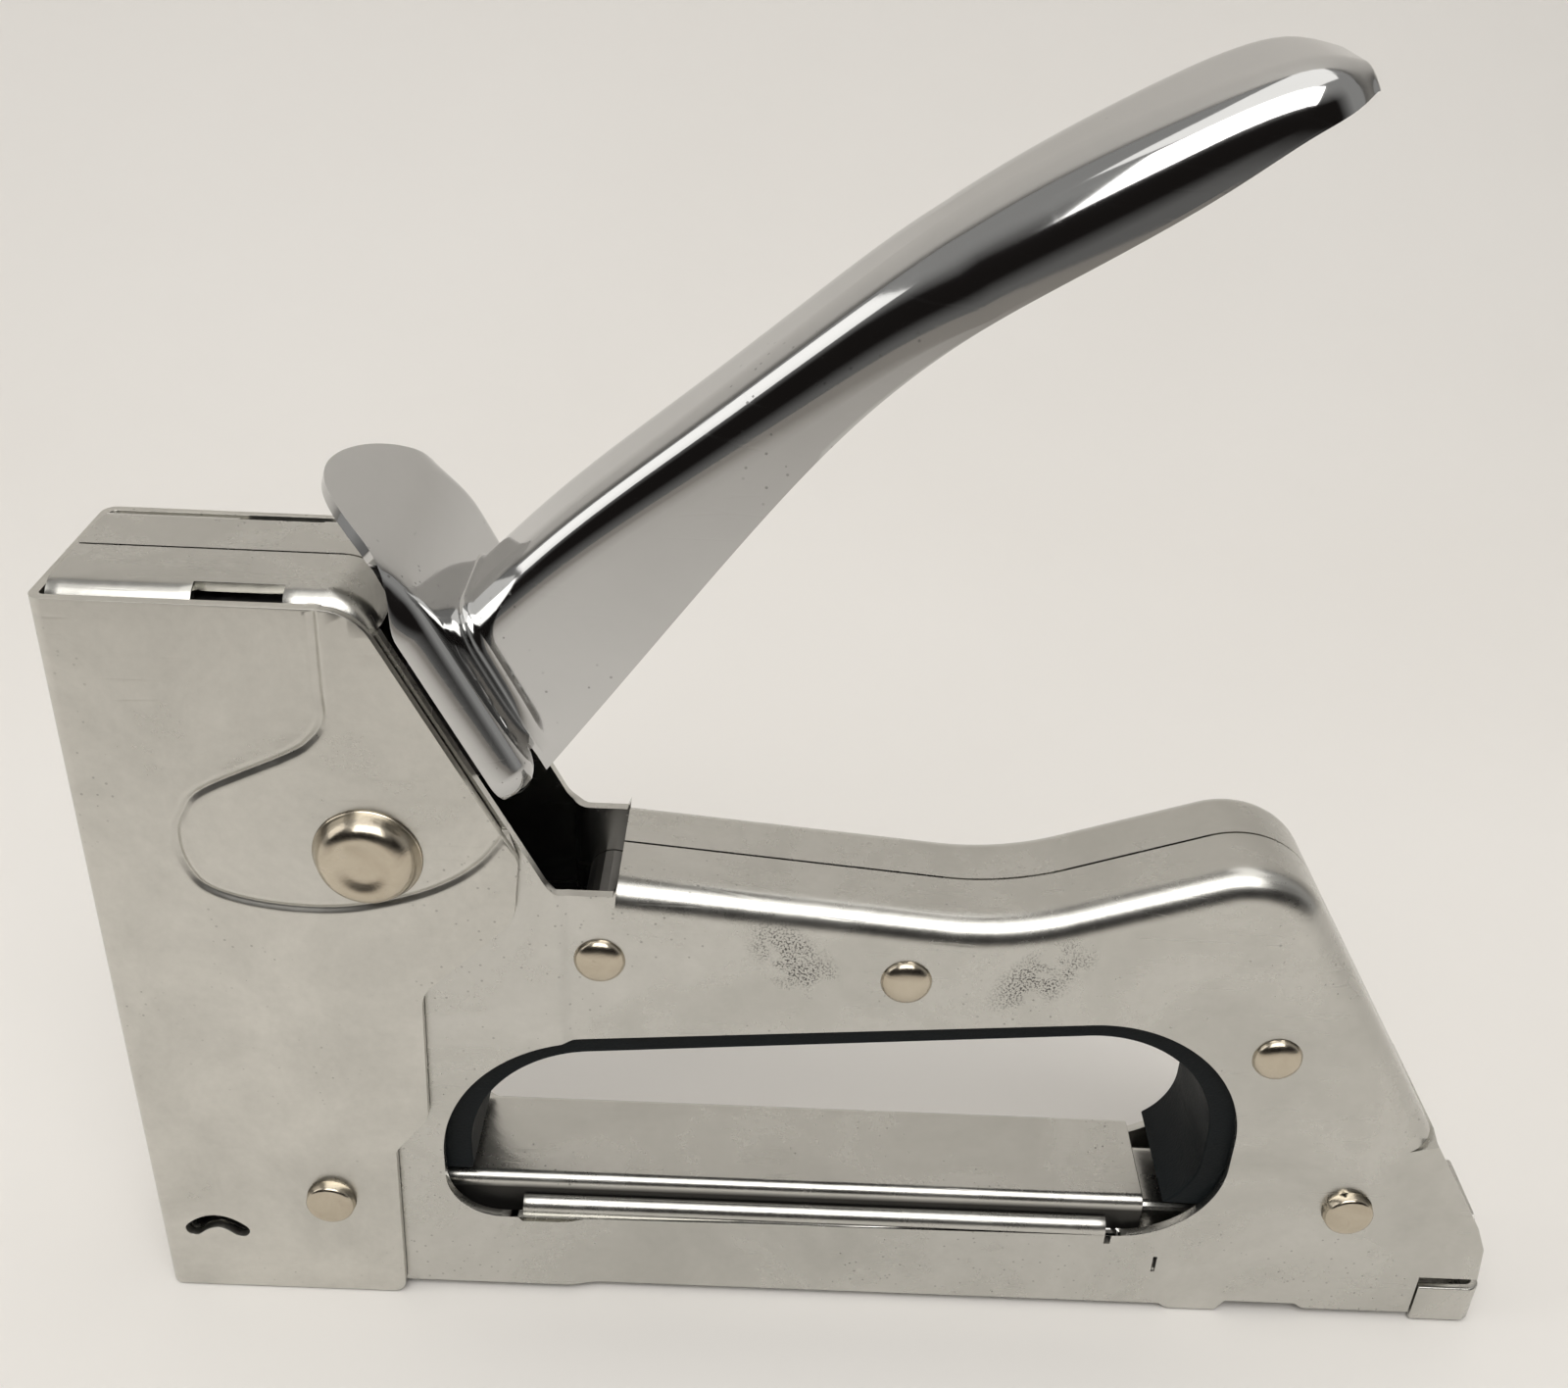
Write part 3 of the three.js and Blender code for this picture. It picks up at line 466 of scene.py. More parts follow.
def mottled(name, tones, roughness, scale, grain=0.5):
    """A new finish and its parts, with the clouds, a mixed tone and a roughness."""
    finish, tree, shader, where = new_finish(name)
    values = {"Vector": where, "Scale": scale, "Grain": grain}
    cloudy, clouds = add_node(tree, "ShaderNodeGroup", values, node_tree=MOTTLING).outputs
    tone, rough = toned(tree, cloudy, *tones), remapped(tree, cloudy, 0, 1, *roughness)
    return finish, tree, shader, where, clouds, tone, rough


def coated(tree, shader, colour, rough, height, strength, distance):
    """Links a colour, a roughness and a bump to the shader."""
    bump = add_node(tree, "ShaderNodeBump", {"Height": height, "Strength": strength, "Distance": distance})
    tree.links.new(colour, shader["Base Color"])
    tree.links.new(rough, shader["Roughness"])
    tree.links.new(bump.outputs["Normal"], shader["Normal"])


def metal(name, tones, roughness, mottle=90, grain=0.5, marks=0.3, pits=0.5, wave=0.02, smudges=0.0,
          shade_below=-1.0):
    """A plated metal, with the strength of its marks and the height below which shade is painted dark, in
    metres.
    """
    finish, tree, shader, where, clouds, tone, smooth = mottled(name, tones, roughness, mottle, grain)
    rubbed, pitted, inked = [
        add_node(tree, "ShaderNodeGroup", {"Vector": where, **values}, node_tree=group).outputs["Mask"]
        for group, values in ((RUB_MARKS, {"Density": marks}), (PITS, {}), (SMUDGES, {"Strength": smudges}))]
    # Painted shade: below the given height the finish goes nearly black, for the shade on the magazine's
    # sides under the finger hole's lip. The pits and ink below are real dirt.
    painted_shade = remapped(tree, parts_of(tree, where)["Z"], shade_below, shade_below + 0.0007, 0.93, 0)
    dirt_and_shade = combined(tree, "MAXIMUM", times(tree, pitted, pits), inked, painted_shade)
    colour = toned(tree, dirt_and_shade, tone, (0.03, 0.028, 0.026))
    rough = combined(tree, "ADD", smooth, times(tree, rubbed, 0.18),
                     times(tree, dirt_and_shade, 0.35))
    height = combined(tree, "SUBTRACT", clouds, times(tree, rubbed, 0.25))
    coated(tree, shader, colour, rough, height, wave, 0.001)
    shader["Metallic"].default_value = 1.0
    return finish


ZINC_TONES = [(0.47, 0.462, 0.43), (0.63, 0.62, 0.585)]
ZINC = metal("satin zinc plate", ZINC_TONES, (0.20, 0.32),
             mottle=60, grain=0.7, pits=0.3, wave=0.09, smudges=0.8)
COVER_ZINC = metal("satin zinc cover", [(0.50, 0.49, 0.455), (0.68, 0.665, 0.62)], (0.24, 0.38),
                   mottle=75, grain=0.8, marks=0.35, pits=0.3, wave=0.10)
# The magazine's sides below 13.8 mm get painted shade under the lip.
MAGAZINE_ZINC = metal("magazine zinc", ZINC_TONES, (0.20, 0.32),
                      mottle=60, grain=0.7, marks=0.4, wave=0.09, shade_below=0.0138)
CHROME = metal("polished chrome", [(0.53, 0.53, 0.525), (0.58, 0.58, 0.575)], (0.055, 0.10),
               mottle=40, grain=0.25, pits=0.4, wave=0.012)
NICKEL = metal("nickel plate", [(0.47, 0.41, 0.32), (0.60, 0.54, 0.44)], (0.14, 0.26),
               mottle=300, pits=0.1, wave=0.04)
TOOL_STEEL = metal("tool steel", [(0.22, 0.215, 0.21), (0.34, 0.33, 0.32)], (0.30, 0.48),
                   mottle=160, wave=0.08)
SPRING_STEEL = metal("oiled spring steel", [(0.12, 0.115, 0.11), (0.22, 0.21, 0.20)], (0.25, 0.42),
                     mottle=240, wave=0.05)
BRASS = metal("worn brass", [(0.50, 0.36, 0.16), (0.66, 0.50, 0.24)], (0.22, 0.40), mottle=180, wave=0.05)

# %% [markdown]
# ## Moulded plastic and rubber
#
# The finger liner is a dark moulding with a fine grain in its surface, and the bumper is rubber.

# %% Plastics
def moulded(name, tones, roughness, grain_scale, strength):
    """A moulded, non-metal finish with a fine grain in its surface."""
    finish, tree, shader, where, _, tone, rough = mottled(name, tones, roughness, 120)
    coated(tree, shader, tone, rough, noise(tree, where, grain_scale, 2), strength, 0.0002)
    shader["Specular IOR Level"].default_value = 0.14
    return finish


PLASTIC = moulded("black moulded plastic", [(0.003, 0.005, 0.006), (0.008, 0.011, 0.013)], (0.45, 0.60),
                  4200, 0.25)
RUBBER = moulded("rubber", [(0.012, 0.012, 0.012), (0.03, 0.028, 0.027)], (0.7, 0.9), 2500, 0.5)
print("finishes:", [m.name for m in bpy.data.materials])

# %% [markdown]
# ## Body halves
#
# Each half is one blank: a flat wall whose upper edge is folded over the grip and over the nose,
# until the two halves meet at a seam. The wall steps in a little behind the nose, where the sheet is
# joggled. The flat part is filled from its outline, and each fold is a net of rows that shares the
# outline's points, so the bend runs on without a break. A lip is turned in under the finger hole.

# %% Outline of a half
DIP = 55.9
GRIP_LINE = [(138.2, 27.6), (116.8, 63.0, 9), (90.0, 53.4, 30), (51.0, 56.9)]
GRIP_LINE = divided(rounded(GRIP_LINE, closed=False), 1.2)
NOSE_LINE = [(slope_at(84.5), 84.5), (slope_at(NOSE_TOP), NOSE_TOP, 5), (1.2, NOSE_TOP)]
NOSE_LINE = divided(rounded(NOSE_LINE, closed=False), 1.2)
LIP_X, LIP_LOW = np.linspace(41, 104, 43), 10.9


def inset(line, distance):
    """A fold line moved into the wall."""
    return line - normals_of(line) * distance * side_of(line)


def side_of(line):
    """+1 where a line's left side faces up and out of the wall."""
    return 1 if normals_of(line)[len(line) // 2][1] > 0 else -1


def hole_loop(grow):
    """The finger hole's outline, grown or shrunk all round."""
    return rounded([
        (32.0 - grow, 11.5 - grow, 6 + grow), (116.8 + grow, 11.5 - grow, 11 + grow),
        (116.8 + grow, 43.6 + grow, 16 + grow), (32.0 - grow, 36.1 + grow, 17 + grow)])


def hole_outline():
    """The finger hole, with the notch that lets its lower lip be turned in."""
    arcs = hole_loop(0)
    notched = [(39.6, 11.5), (40.1, LIP_LOW)]
    notched += [(x, LIP_LOW) for x in LIP_X]
    notched += [(104.9, LIP_LOW), (104.9, 10.2), (105.6, 10.2), (105.6, 11.5)]
    low = int(np.argmax(arcs[:, 0] + (arcs[:, 1] > 11.6) * -1e3))
    arcs = np.roll(arcs, -low, 0)
    return np.vstack([arcs, notched])


def kidney_outline():
    """The bean-shaped slot near the foot of the nose: an arched line with a round end on each side."""
    share = np.linspace(-1, 1, 15)
    middle = np.stack([6.4 + 2.6 * share, 8.9 + 1.3 * (1 - share ** 2)], 1)
    half = 0.95
    square = normals_of(middle) * half
    ends = []
    for centre, arm in ((middle[-1], square[-1]), (middle[0], -square[0])):
        first = math.atan2(arm[1], arm[0])
        turns = [first - a for a in np.linspace(0, math.pi, 9)]
        ends.append([centre + half * np.array([math.cos(a), math.sin(a)]) for a in turns])
    return np.vstack([(middle + square)[1:-1], ends[0], (middle - square)[-2:0:-1], ends[1]])


def wall_outline():
    """The flat part of a half, up to the lines where its folds begin."""
    foot = [(1.2, 0.8), (112.5, 0.8), (113.5, 0.1), (119.0, 0.1), (120.0, 1.6), (128.0, 1.6),
            (129.0, 0.9), (141.2, 0.9), (141.2, 6.7), (147.8, 6.7), (147.3, 11.5), (145.9, 14.8)]
    foot = divided(np.array(foot), 3)
    dip = rounded([(51.0, 56.9), (50.6, DIP), (slope_at(DIP), DIP, 3), (slope_at(84.5), 84.5)], closed=False)
    return np.vstack([
        foot,
        [(138.6, 26.9)], inset(GRIP_LINE, GRIP_FOLD), GRIP_LINE[-1:],
        divided(dip, 2)[1:], inset(NOSE_LINE, NOSE_FOLD),
    ])


def wall_reach(x):
    """How far a wall stands from the middle: the nose is wider than the grip."""
    share = np.clip((JOGGLE + 0.7 - np.asarray(x)) / 1.4, 0, 1)
    return GRIP_HALF + (NOSE_HALF - GRIP_HALF) * eased(share)


def fold_rows(line, half, radius):
    """Rows of a fold, from the wall up, over and across to the seam."""
    up = normals_of(line) * side_of(line)
    rows = []
    for angle in np.linspace(0, math.pi / 2, 11):
        flat = line - up * radius * (1 - math.sin(angle))
        rows.append([(x, -half + radius * (1 - math.cos(angle)), z) for x, z in flat])
    rows.append([(x, -half + radius + 0.45 * (half - radius), z) for x, z in line])
    rows.append([(x, -SEAM, z) for x, z in line])
    return rows


def body_half_skin():
    """The near half's outer skin."""
    loops = [wall_outline(), hole_outline(), kidney_outline(),
             np.array([(110.8, 6.0), (111.25, 6.0), (111.25, 8.4), (110.8, 8.4)])]
    more = [(x, z) for x in JOGGLE + np.linspace(-0.9, 0.9, 9) for z in np.arange(2, 55, 1.5)]
    more += [(x, z) for x in np.arange(3, 146, 3.5) for z in np.arange(3, 86, 3.5)]
    more = np.array(more)
    flat, faces = fill(loops, more[is_inside(more, loops)])
    skin = Skin()
    skin.add([(x, -float(wall_reach(x)), z) for x, z in flat], faces)
    skin.add_rows(fold_rows(GRIP_LINE, GRIP_HALF, GRIP_FOLD))
    in_slot = lambda i, k: 2 <= i <= 8 and 13.4 < NOSE_LINE[k:k + 2, 0].mean() < 22.0
    skin.add_rows(fold_rows(NOSE_LINE, NOSE_HALF, NOSE_FOLD), in_slot)
    lip_x = [40.1, *LIP_X, 104.9]
    lip = [[(x, -GRIP_HALF, z) for x in lip_x] for z in (LIP_LOW, 11.6)]
    for angle in np.linspace(0.2, math.pi / 2, 7):
        y, z = -GRIP_HALF + 1.4 * (1 - math.cos(angle)), 11.6 + 1.45 * math.sin(angle)
        lip.append([(x, y, z) for x in lip_x])
    skin.add_rows(lip)
    return skin.welded((0, -1, 0))


near_half, far_half = body_half_skin(), Skin()
far_half.add_mirror(near_half)
for place, skin in (("near", near_half), ("far", far_half.welded((0, 1, 0)))):
    half_mesh = sheet_mesh(f"body half {place}", [skin], SHEET)
    finished(f"body_wall_{place}", half_mesh, ZINC, "frame", [f"body_half_{place}"])

# %% [markdown]
# ## Front cover
#
# A second sheet is wrapped round the nose. A line is pressed into both of its sides round the pivot,
# which stiffens them. The line is real here too: extra points follow it, and are pushed in by a
# smooth hollow across it.

# %% Cover
GROOVE = [(25.0, 88.5), (24.8, 79.4), (24.7, 75.8), (23.3, 73.6), (20.9, 71.9), (12.7, 67.7), (10.5, 64.9),
          (9.7, 62.6), (10.1, 59.2), (12.0, 56.4), (17.0, 54.8), (23.6, 54.5), (29.4, 55.7), (34.3, 57.7),
          (38.2, 60.6), (41.5, 65.1)]


def smoothed(points, parts=8):
    """A smooth line through points."""
    points = np.array(points, float)
    padded = np.vstack([2 * points[0] - points[1], points, 2 * points[-1] - points[-2]])
    line = []
    for a, b, c, d in zip(padded[:-3], padded[1:-2], padded[2:-1], padded[3:]):
        for t in np.arange(parts) / parts:
            line.append(0.5 * (2 * b + (c - a) * t + (2 * a - 5 * b + 4 * c - d) * t ** 2
                               + (3 * b - a - 3 * c + d) * t ** 3))
    return np.array(line + [points[-1]])


def cover_skin():
    """The outer skin of the front cover: a side, the wrapped front and the other side."""
    corner, top = 1.4, 87.2
    outline = rounded([
        (26.6, 0.0, 1.5), (27.2, 22.0, 1.5), (31.0, 27.0, 2), (31.5, 44.0, 4), (41.2, 53.8, 4),
        (slope_at(61.0, SLOPE_RUN - 0.4), 61.0, 2), (slope_at(top, SLOPE_RUN - 0.4), top, 5),
        (corner, top), (corner, 0.0),
    ])
    split = int(np.argmin(np.abs(outline - (corner, top)).sum(1)))
    edge = divided(outline[split:split + 2], 2.2)
    loop = np.vstack([outline[:split], edge])
    loops = [loop, kidney_outline()]
    line = divided(smoothed(GROOVE), 0.5)
    square = normals_of(line)
    more = np.vstack([line + square * d for d in (-1.0, -0.62, -0.4, -0.2, 0, 0.2, 0.4, 0.62, 1.0)])
    grid = np.array([(x, z) for x in np.arange(3, 46, 2.5) for z in np.arange(2, 87, 2.5)])
    more = np.vstack([more, grid[gaps_to(grid, line) > 1.4]])
    flat, faces = fill(loops, more[is_inside(more, loops)])
    gaps = gaps_to(flat, line)
    pressed = 0.30 * np.exp(-(gaps / 0.30) ** 2) - 0.08 * np.exp(-((gaps - 0.7) / 0.25) ** 2)
    skin = Skin()
    skin.add([(x, -COVER_HALF + p, z) for (x, z), p in zip(flat, pressed)], faces)
    rows = []
    for angle in np.linspace(0, math.pi / 2, 8):
        x, y = corner * (1 - math.sin(angle)), -COVER_HALF + corner * (1 - math.cos(angle))
        rows.append([(x, y, z) for _, z in edge])
    for y in (-4.2, 0.0):
        rows.append([(0.0, y, z) for _, z in edge])
    skin.add_rows(rows)
    skin.add_mirror(skin)
    return skin.welded((-1, 0, 0))


finished("nose_cover", sheet_mesh("nose cover", [cover_skin()], COVER_SHEET, even=False), COVER_ZINC,
         "frame", ["front_cover"])

# %% [markdown]
# ## Handle and hand guard
#
# The lever handle is deep-drawn from one sheet with the guard in front of it, so the two run into each
# other through a small fillet. The handle is a skin stretched over ten stations. The guard is a plate
# whose rim rolls towards the nose, and whose top curls forward.

# %% Handle
HANDLE_SHEET = 1.0
FILLET = 1.2
SHOULDER = 1.35
TIP_REACH, TIP_HEADING = 0.9, np.array([0.97, -0.2])
STATIONS = [
    [*from_pivot(17.5, GUARD_FACE - 0.6), *from_pivot(0.2, GUARD_FACE - 0.6), 7.2, 3.2],
    [45.0, 93.6, 52.2, 80.4, 7.25, 3.2],
    [57.0, 103.9, 62.5, 94.6, 7.5, 3.6],
    [66.9, 112.4, 71.3, 105.6, 8.0, 4.2],
    [76.1, 120.0, 79.8, 113.5, 8.7, 5.0],
    [84.9, 126.0, 88.1, 119.2, 9.3, 6.0],
    [94.8, 131.4, 98.6, 126.3, 9.6, 4.8],
    [101.0, 134.2, 104.0, 130.2, 9.1, 4.4],
    [105.2, 135.2, 107.2, 131.9, 7.6, 3.2],
    [108.3, 134.8, 109.3, 132.9, 5.0, 1.9],
]


def spline(rows):
    """A smooth function through rows of numbers, over their distance along the first two."""
    rows = np.array(rows, float)
    knots = np.concatenate([[0], np.cumsum(np.linalg.norm(np.diff(rows[:, :2], axis=0), axis=1))])
    knots /= knots[-1]
    gap = np.diff(knots)
    count = len(knots)
    system, side = np.eye(count), np.zeros(rows.shape)
    for i in range(1, count - 1):
        system[i, i - 1:i + 2] = gap[i - 1], 2 * (gap[i - 1] + gap[i]), gap[i]
        side[i] = 6 * ((rows[i + 1] - rows[i]) / gap[i] - (rows[i] - rows[i - 1]) / gap[i - 1])
    bend = np.linalg.solve(system, side)

    def at(t):
        i = int(np.clip(np.searchsorted(knots, t) - 1, 0, count - 2))
        a, b = (knots[i + 1] - t) / gap[i], (t - knots[i]) / gap[i]
        return (a * rows[i] + b * rows[i + 1]
                + ((a ** 3 - a) * bend[i] + (b ** 3 - b) * bend[i + 1]) * gap[i] ** 2 / 6)

    return at


def handle_section(crown, edge, half, radius):
    """One section of the handle, from its near edge over the crown to its far edge."""
    down = edge - crown
    depth = np.linalg.norm(down)
    down = down / depth
    radius = min(radius, half * 0.98, depth * 0.95)
    sides, corner, across = 7, 14, 7
    line = [(-half, depth + (radius - depth) * k / sides) for k in range(sides)]
    for angle in np.linspace(0, math.pi / 2, corner):
        fall, rise = math.cos(angle) ** 0.86, math.sin(angle) ** 0.86
        line.append((-half + radius * (1 - fall), radius * (1 - rise)))
    line += [(-(half - radius) * (1 - k / across), 0) for k in range(1, across + 1)]
    line += [(-y, d) for y, d in line[-2::-1]]
    run = np.gradient(np.array(line), axis=0)
    run /= np.linalg.norm(run, axis=1)[:, None]
    places = [(crown[0] + down[0] * d, y, crown[1] + down[1] * d) for y, d in line]
    return list(zip(places, run[:, 1], run[:, 0]))


def handle_skin():
    """The handle's outer skin, flared where it meets the guard and closed round at its tip."""
    at = spline(STATIONS)
    rows = []
    for t in (0, *np.linspace(0.004, 0.024, 26), *np.linspace(0.028, 0.06, 8), *np.linspace(0.07, 1, 84)):
        cx, cz, ex, ez, half, radius = at(t)
        rows.append(handle_section(np.array([cx, cz]), np.array([ex, ez]), half, SHOULDER * radius))
    cx, cz, ex, ez, half, radius = at(1)
    for angle in np.linspace(0.15, math.pi / 2 - 0.02, 10):
        shrink, ahead = math.cos(angle), TIP_REACH * math.sin(angle)
        middle = (np.array([cx, cz]) + (ex, ez)) / 2 + TIP_HEADING * ahead
        arm = (np.array([cx, cz]) - (ex, ez)) / 2 * shrink
        rows.append(handle_section(middle + arm, middle - arm, half * shrink, SHOULDER * radius * shrink))
    plane = from_pivot(0, GUARD_FACE)
    flared = []
    for row in rows:
        points = []
        for (x, y, z), out_y, out_s in row:
            gap = max(0.0, (np.array([x, z]) - plane) @ OUTWARD)
            if gap < FILLET:
                along = (np.array([x, z]) - PIVOT) @ SLOPE
                fade = np.clip((along - GUARD_LOW - 0.5) / 8, 0, 1)
                flare = FILLET - math.sqrt(FILLET ** 2 - (FILLET - gap) ** 2)
                grow = (0.3 + 0.7 * abs(out_y)) * eased(fade) * flare
                x, z = x + grow * out_s * SLOPE[0], z + grow * out_s * SLOPE[1]
                y += grow * out_y
            points.append((x, y, z))
        flared.append(points)
    return net_skin(flared, (-0.6, 0, 0.8))

# %% Guard
def guard_place(y, along, drop):
    """A point of the guard: across, up the slope, and how far it lies behind the handle's face."""
    if along <= CURL_START:
        x, z = from_pivot(along, GUARD_FACE - drop)
    else:
        turn = math.asin(min(0.999, (along - CURL_START) / GUARD_CURL))
        reach = GUARD_CURL - drop
        along, curl = CURL_START + reach * math.sin(turn), GUARD_FACE - GUARD_CURL
        x, z = from_pivot(along, curl + reach * math.cos(turn))
    return (x, y, z)


def guard_skin():
    """The guard's skin: its face, and the rim that rolls towards the nose."""
    arc = [(GUARD_HALF * math.cos(a), CURL_START + GUARD_HALF * math.sin(a))
           for a in np.linspace(0, math.pi, 60)]
    lobe = 3.25
    right = [(GUARD_HALF - lobe + lobe * math.cos(a), GUARD_LOW + lobe + lobe * math.sin(a))
             for a in np.linspace(-3.1, 0, 14)]
    rim = np.array(right + [(GUARD_HALF, s) for s in np.linspace(5.5, 18.6, 10)] + arc)
    rim = np.vstack([rim, [(-y, s) for y, s in rim[len(right) + 9::-1]]])
    out = -normals_of(rim)
    rows = []
    strength = eased(1 - np.clip((rim[:, 1] - 20.0) / 8.5, 0, 1))
    for q, skirt in [(q, 0) for q in np.linspace(0, 1, 12)] + [(1, GUARD_RIM / 2), (1, GUARD_RIM)]:
        angle = q * math.pi / 2
        row = []
        for (y, s), (ny, ns), w in zip(rim, out, strength):
            inward = GUARD_ROLL * ((1 - w) * (1 - q) + w * (1 - math.sin(angle)))
            drop = w * GUARD_ROLL * (1 - math.cos(angle)) + w * w * skirt
            row.append(guard_place(y - ny * inward, s - ns * inward, drop))
        rows.append(row)
    start = rim - out * GUARD_ROLL
    half, top = 6.6, 16.6
    opening = [(-half, start[0][1]), (-half, top, 2.5), (half, top, 2.5), (half, start[-1][1])]
    loop = np.vstack([start, rounded(opening, closed=False)])
    grid = np.array([(y, s) for y in np.arange(-11.6, 11.7, 0.8) for s in np.arange(2, 31, 0.8)])
    flat, faces = fill([loop], grid[is_inside(grid, [loop])])
    skin = Skin()
    skin.add([guard_place(y, s, 0) for y, s in flat], faces)
    skin.add_rows(rows)
    return skin.welded((OUTWARD[0], 0, OUTWARD[1]))


lever_mesh = sheet_mesh("lever handle", [handle_skin(), guard_skin()], HANDLE_SHEET, 0.12, even=False)
finished("lever_handle", lever_mesh, CHROME, "lever", ["handle"])

# %% [markdown]
# ## Rivet heads by Geometry Nodes
#
# All the small rivets are alike, so one tree makes a head and sets a copy at every point of a plain
# mesh. The head is a flat disc of rings lifted by a drawn profile: one for the domed heads of the grip,
# and another for the flatter ones of the nose and heel.

# %% Tree helpers
def shape_tree(name, inputs):
    """A geometry tree with named inputs and a finish, and its end sockets."""
    geometry = ("Geometry", "Geometry")
    inputs = [(*geometry, None), *inputs, ("Finish", "Material", None)]
    return new_tree("GeometryNodeTree", name, inputs, [geometry])


def close_tree(tree, given, out, geometry):
    """Ends a tree: instances made real, shaded smooth, and given their finish."""
    for kind in ("GeometryNodeRealizeInstances", "GeometryNodeSetShadeSmooth", "GeometryNodeSetMaterial"):
        step = add_node(tree, kind, {"Geometry": geometry})
        geometry = step.outputs["Geometry"]
    tree.links.new(given["Finish"], step.inputs["Material"])
    tree.links.new(geometry, out["Geometry"])


def grown(name, points, tree, values):
    """The plain mesh that a tree makes from a mesh of points, with its inputs set by name."""
    seed = bpy.data.meshes.new(name)
    seed.from_pydata([tuple(p) for p in points], [], [])
    worked = placed(name, seed)
    modifier = worked.modifiers.new(name, "NODES")
    modifier.node_group = tree
    names = {item.name: item.identifier for item in tree.interface.items_tree if item.in_out == "INPUT"}
    for key, value in values.items():
        modifier[names[key]] = value
    return worked_out(worked)

# %% Rivet tree
def rivet_tree(name, profile):
    """Rivet heads on every point, facing away from the gun's middle."""
    tree, given, out = shape_tree(name, [("Head radius", "Float", 0.0026), ("Head height", "Float", 0.0011)])
    disc = add_node(tree, "GeometryNodeMeshCylinder", {
        "Vertices": 56, "Side Segments": 1, "Fill Segments": 22,
        "Radius": given["Head radius"], "Depth": given["Head height"]})
    x, y, z = parts_of(tree, tree.nodes.new("GeometryNodeInputPosition").outputs[0])
    squares = [times(tree, side, side) for side in (x, y)]
    from_axis = combined(tree, "SQRT", combined(tree, "ADD", *squares), 0)
    share = combined(tree, "DIVIDE", from_axis, given["Head radius"])
    curve = add_node(tree, "ShaderNodeFloatCurve", {"Value": share})
    line = curve.mapping.curves[0]
    line.points[0].location, line.points[1].location = profile[0], profile[-1]
    for spot in profile[1:-1]:
        line.points.new(*spot)
    curve.mapping.update()
    is_top = combined(tree, "GREATER_THAN", z, 0)
    lifted = times(tree, curve.outputs[0], given["Head height"], is_top)
    join = add_node(tree, "ShaderNodeCombineXYZ", {"X": x, "Y": y, "Z": lifted})
    shaped = add_node(tree, "GeometryNodeSetPosition", {
        "Geometry": disc.outputs["Mesh"], "Position": join.outputs[0]})
    facing = add_node(tree, "ShaderNodeCombineXYZ", {"Y": y})
    turn = add_node(tree, "FunctionNodeAlignRotationToVector", {"Vector": facing.outputs[0]}, axis="Z")
    spots = add_node(tree, "GeometryNodeInstanceOnPoints", {
        "Points": given["Geometry"], "Instance": shaped.outputs["Geometry"],
        "Rotation": turn.outputs["Rotation"]})
    close_tree(tree, given, out, spots.outputs["Instances"])
    return tree


DOMED = [(0.0, 1.0), (0.25, 0.97), (0.5, 0.88), (0.72, 0.72), (0.88, 0.48), (0.96, 0.25), (1.0, 0.0)]
FLAT_HEAD = [(0.0, 1.0), (0.5, 0.98), (0.74, 0.94), (0.88, 0.85), (0.95, 0.70), (0.99, 0.45), (1.0, 0.0)]
DOMED_TREE = rivet_tree("domed rivet heads", DOMED)
FLAT_TREE = rivet_tree("flat rivet heads", FLAT_HEAD)

GRIP_RIVETS = [(49.2, 48.0), (80.0, 46.8), (119.0, 38.5)]
HEEL_RIVET, NOSE_RIVET = (130.8, 16.9), (19.6, 14.5)
HEAD_GAP = 0.02


def rivet_piece(name, spots, face, tree, radius, height, nodes):
    """Rivet heads at side-view spots on both faces of the gun, as one piece."""
    places = metres([(x, side * (face + HEAD_GAP), z) for x, z in spots for side in (-1, 1)])
    mesh = grown(name, places, tree, {
        "Head radius": radius / 1000, "Head height": height / 1000, "Finish": NICKEL})
    finished(name, mesh, NICKEL, "frame", nodes)


rivet_piece("grip_rivets", GRIP_RIVETS, GRIP_HALF, DOMED_TREE, 2.6, 1.1,
            ["grip_rivet_front", "grip_rivet_middle", "grip_rivet_rear"])
rivet_piece("heel_rivet_heads", [HEEL_RIVET], GRIP_HALF, FLAT_TREE, 2.75, 1.3, ["heel_rivet"])
rivet_piece("nose_rivet_heads", [NOSE_RIVET], COVER_HALF, FLAT_TREE, 2.7, 1.3,
            ["nose_rivet_near", "nose_rivet_far"])

# %% [markdown]
# ## Pivot rivet
#
# The big rivet that the handle turns on is one turned piece: a profile is spun round its axis.

# %% Turned pieces
def spun(name, profile, x, z):
    """A closed turned mesh from a profile (radius, y) round the axis at x, z."""
    work = bmesh.new()
    line = [work.verts.new((r, y, 0)) for r, y in profile]
    edges = [work.edges.new((a, b)) for a, b in zip(line, line[1:])]
    bmesh.ops.spin(work, geom=line + edges, cent=(0, 0, 0), axis=(0, 1, 0),
                   angle=2 * math.pi, steps=96, use_merge=True)
    bmesh.ops.remove_doubles(work, verts=work.verts[:], dist=1e-4)
    bmesh.ops.recalc_face_normals(work, faces=work.faces[:])
    mesh = bpy.data.meshes.new(name)
    for vertex in work.verts:
        vertex.co = Vector(metres([(vertex.co.x + x, vertex.co.y, vertex.co.z + z)])[0])
    work.to_mesh(mesh)
    work.free()
    mesh.shade_smooth()
    return mesh


def pivot_profile():
    """Head, shank and head, with the stepped dish of a clenched tubular rivet."""
    face = COVER_HALF + 0.05
    head = [(0, 1.78), (0.9, 1.79), (1.7, 1.84), (2.2, 1.98), (2.7, 2.14), (3.2, 2.2), (3.7, 2.08),
            (4.15, 1.82), (4.5, 1.45), (4.75, 1.05), (4.92, 0.7), (5.03, 0.45), (5.1, 0.2), (5.1, 0)]
    near = [(r, -face - h) for r, h in head]
    far = [(r, face + h) for r, h in reversed(head)]
    return near + [(3.0, -face), (3.0, face)] + far


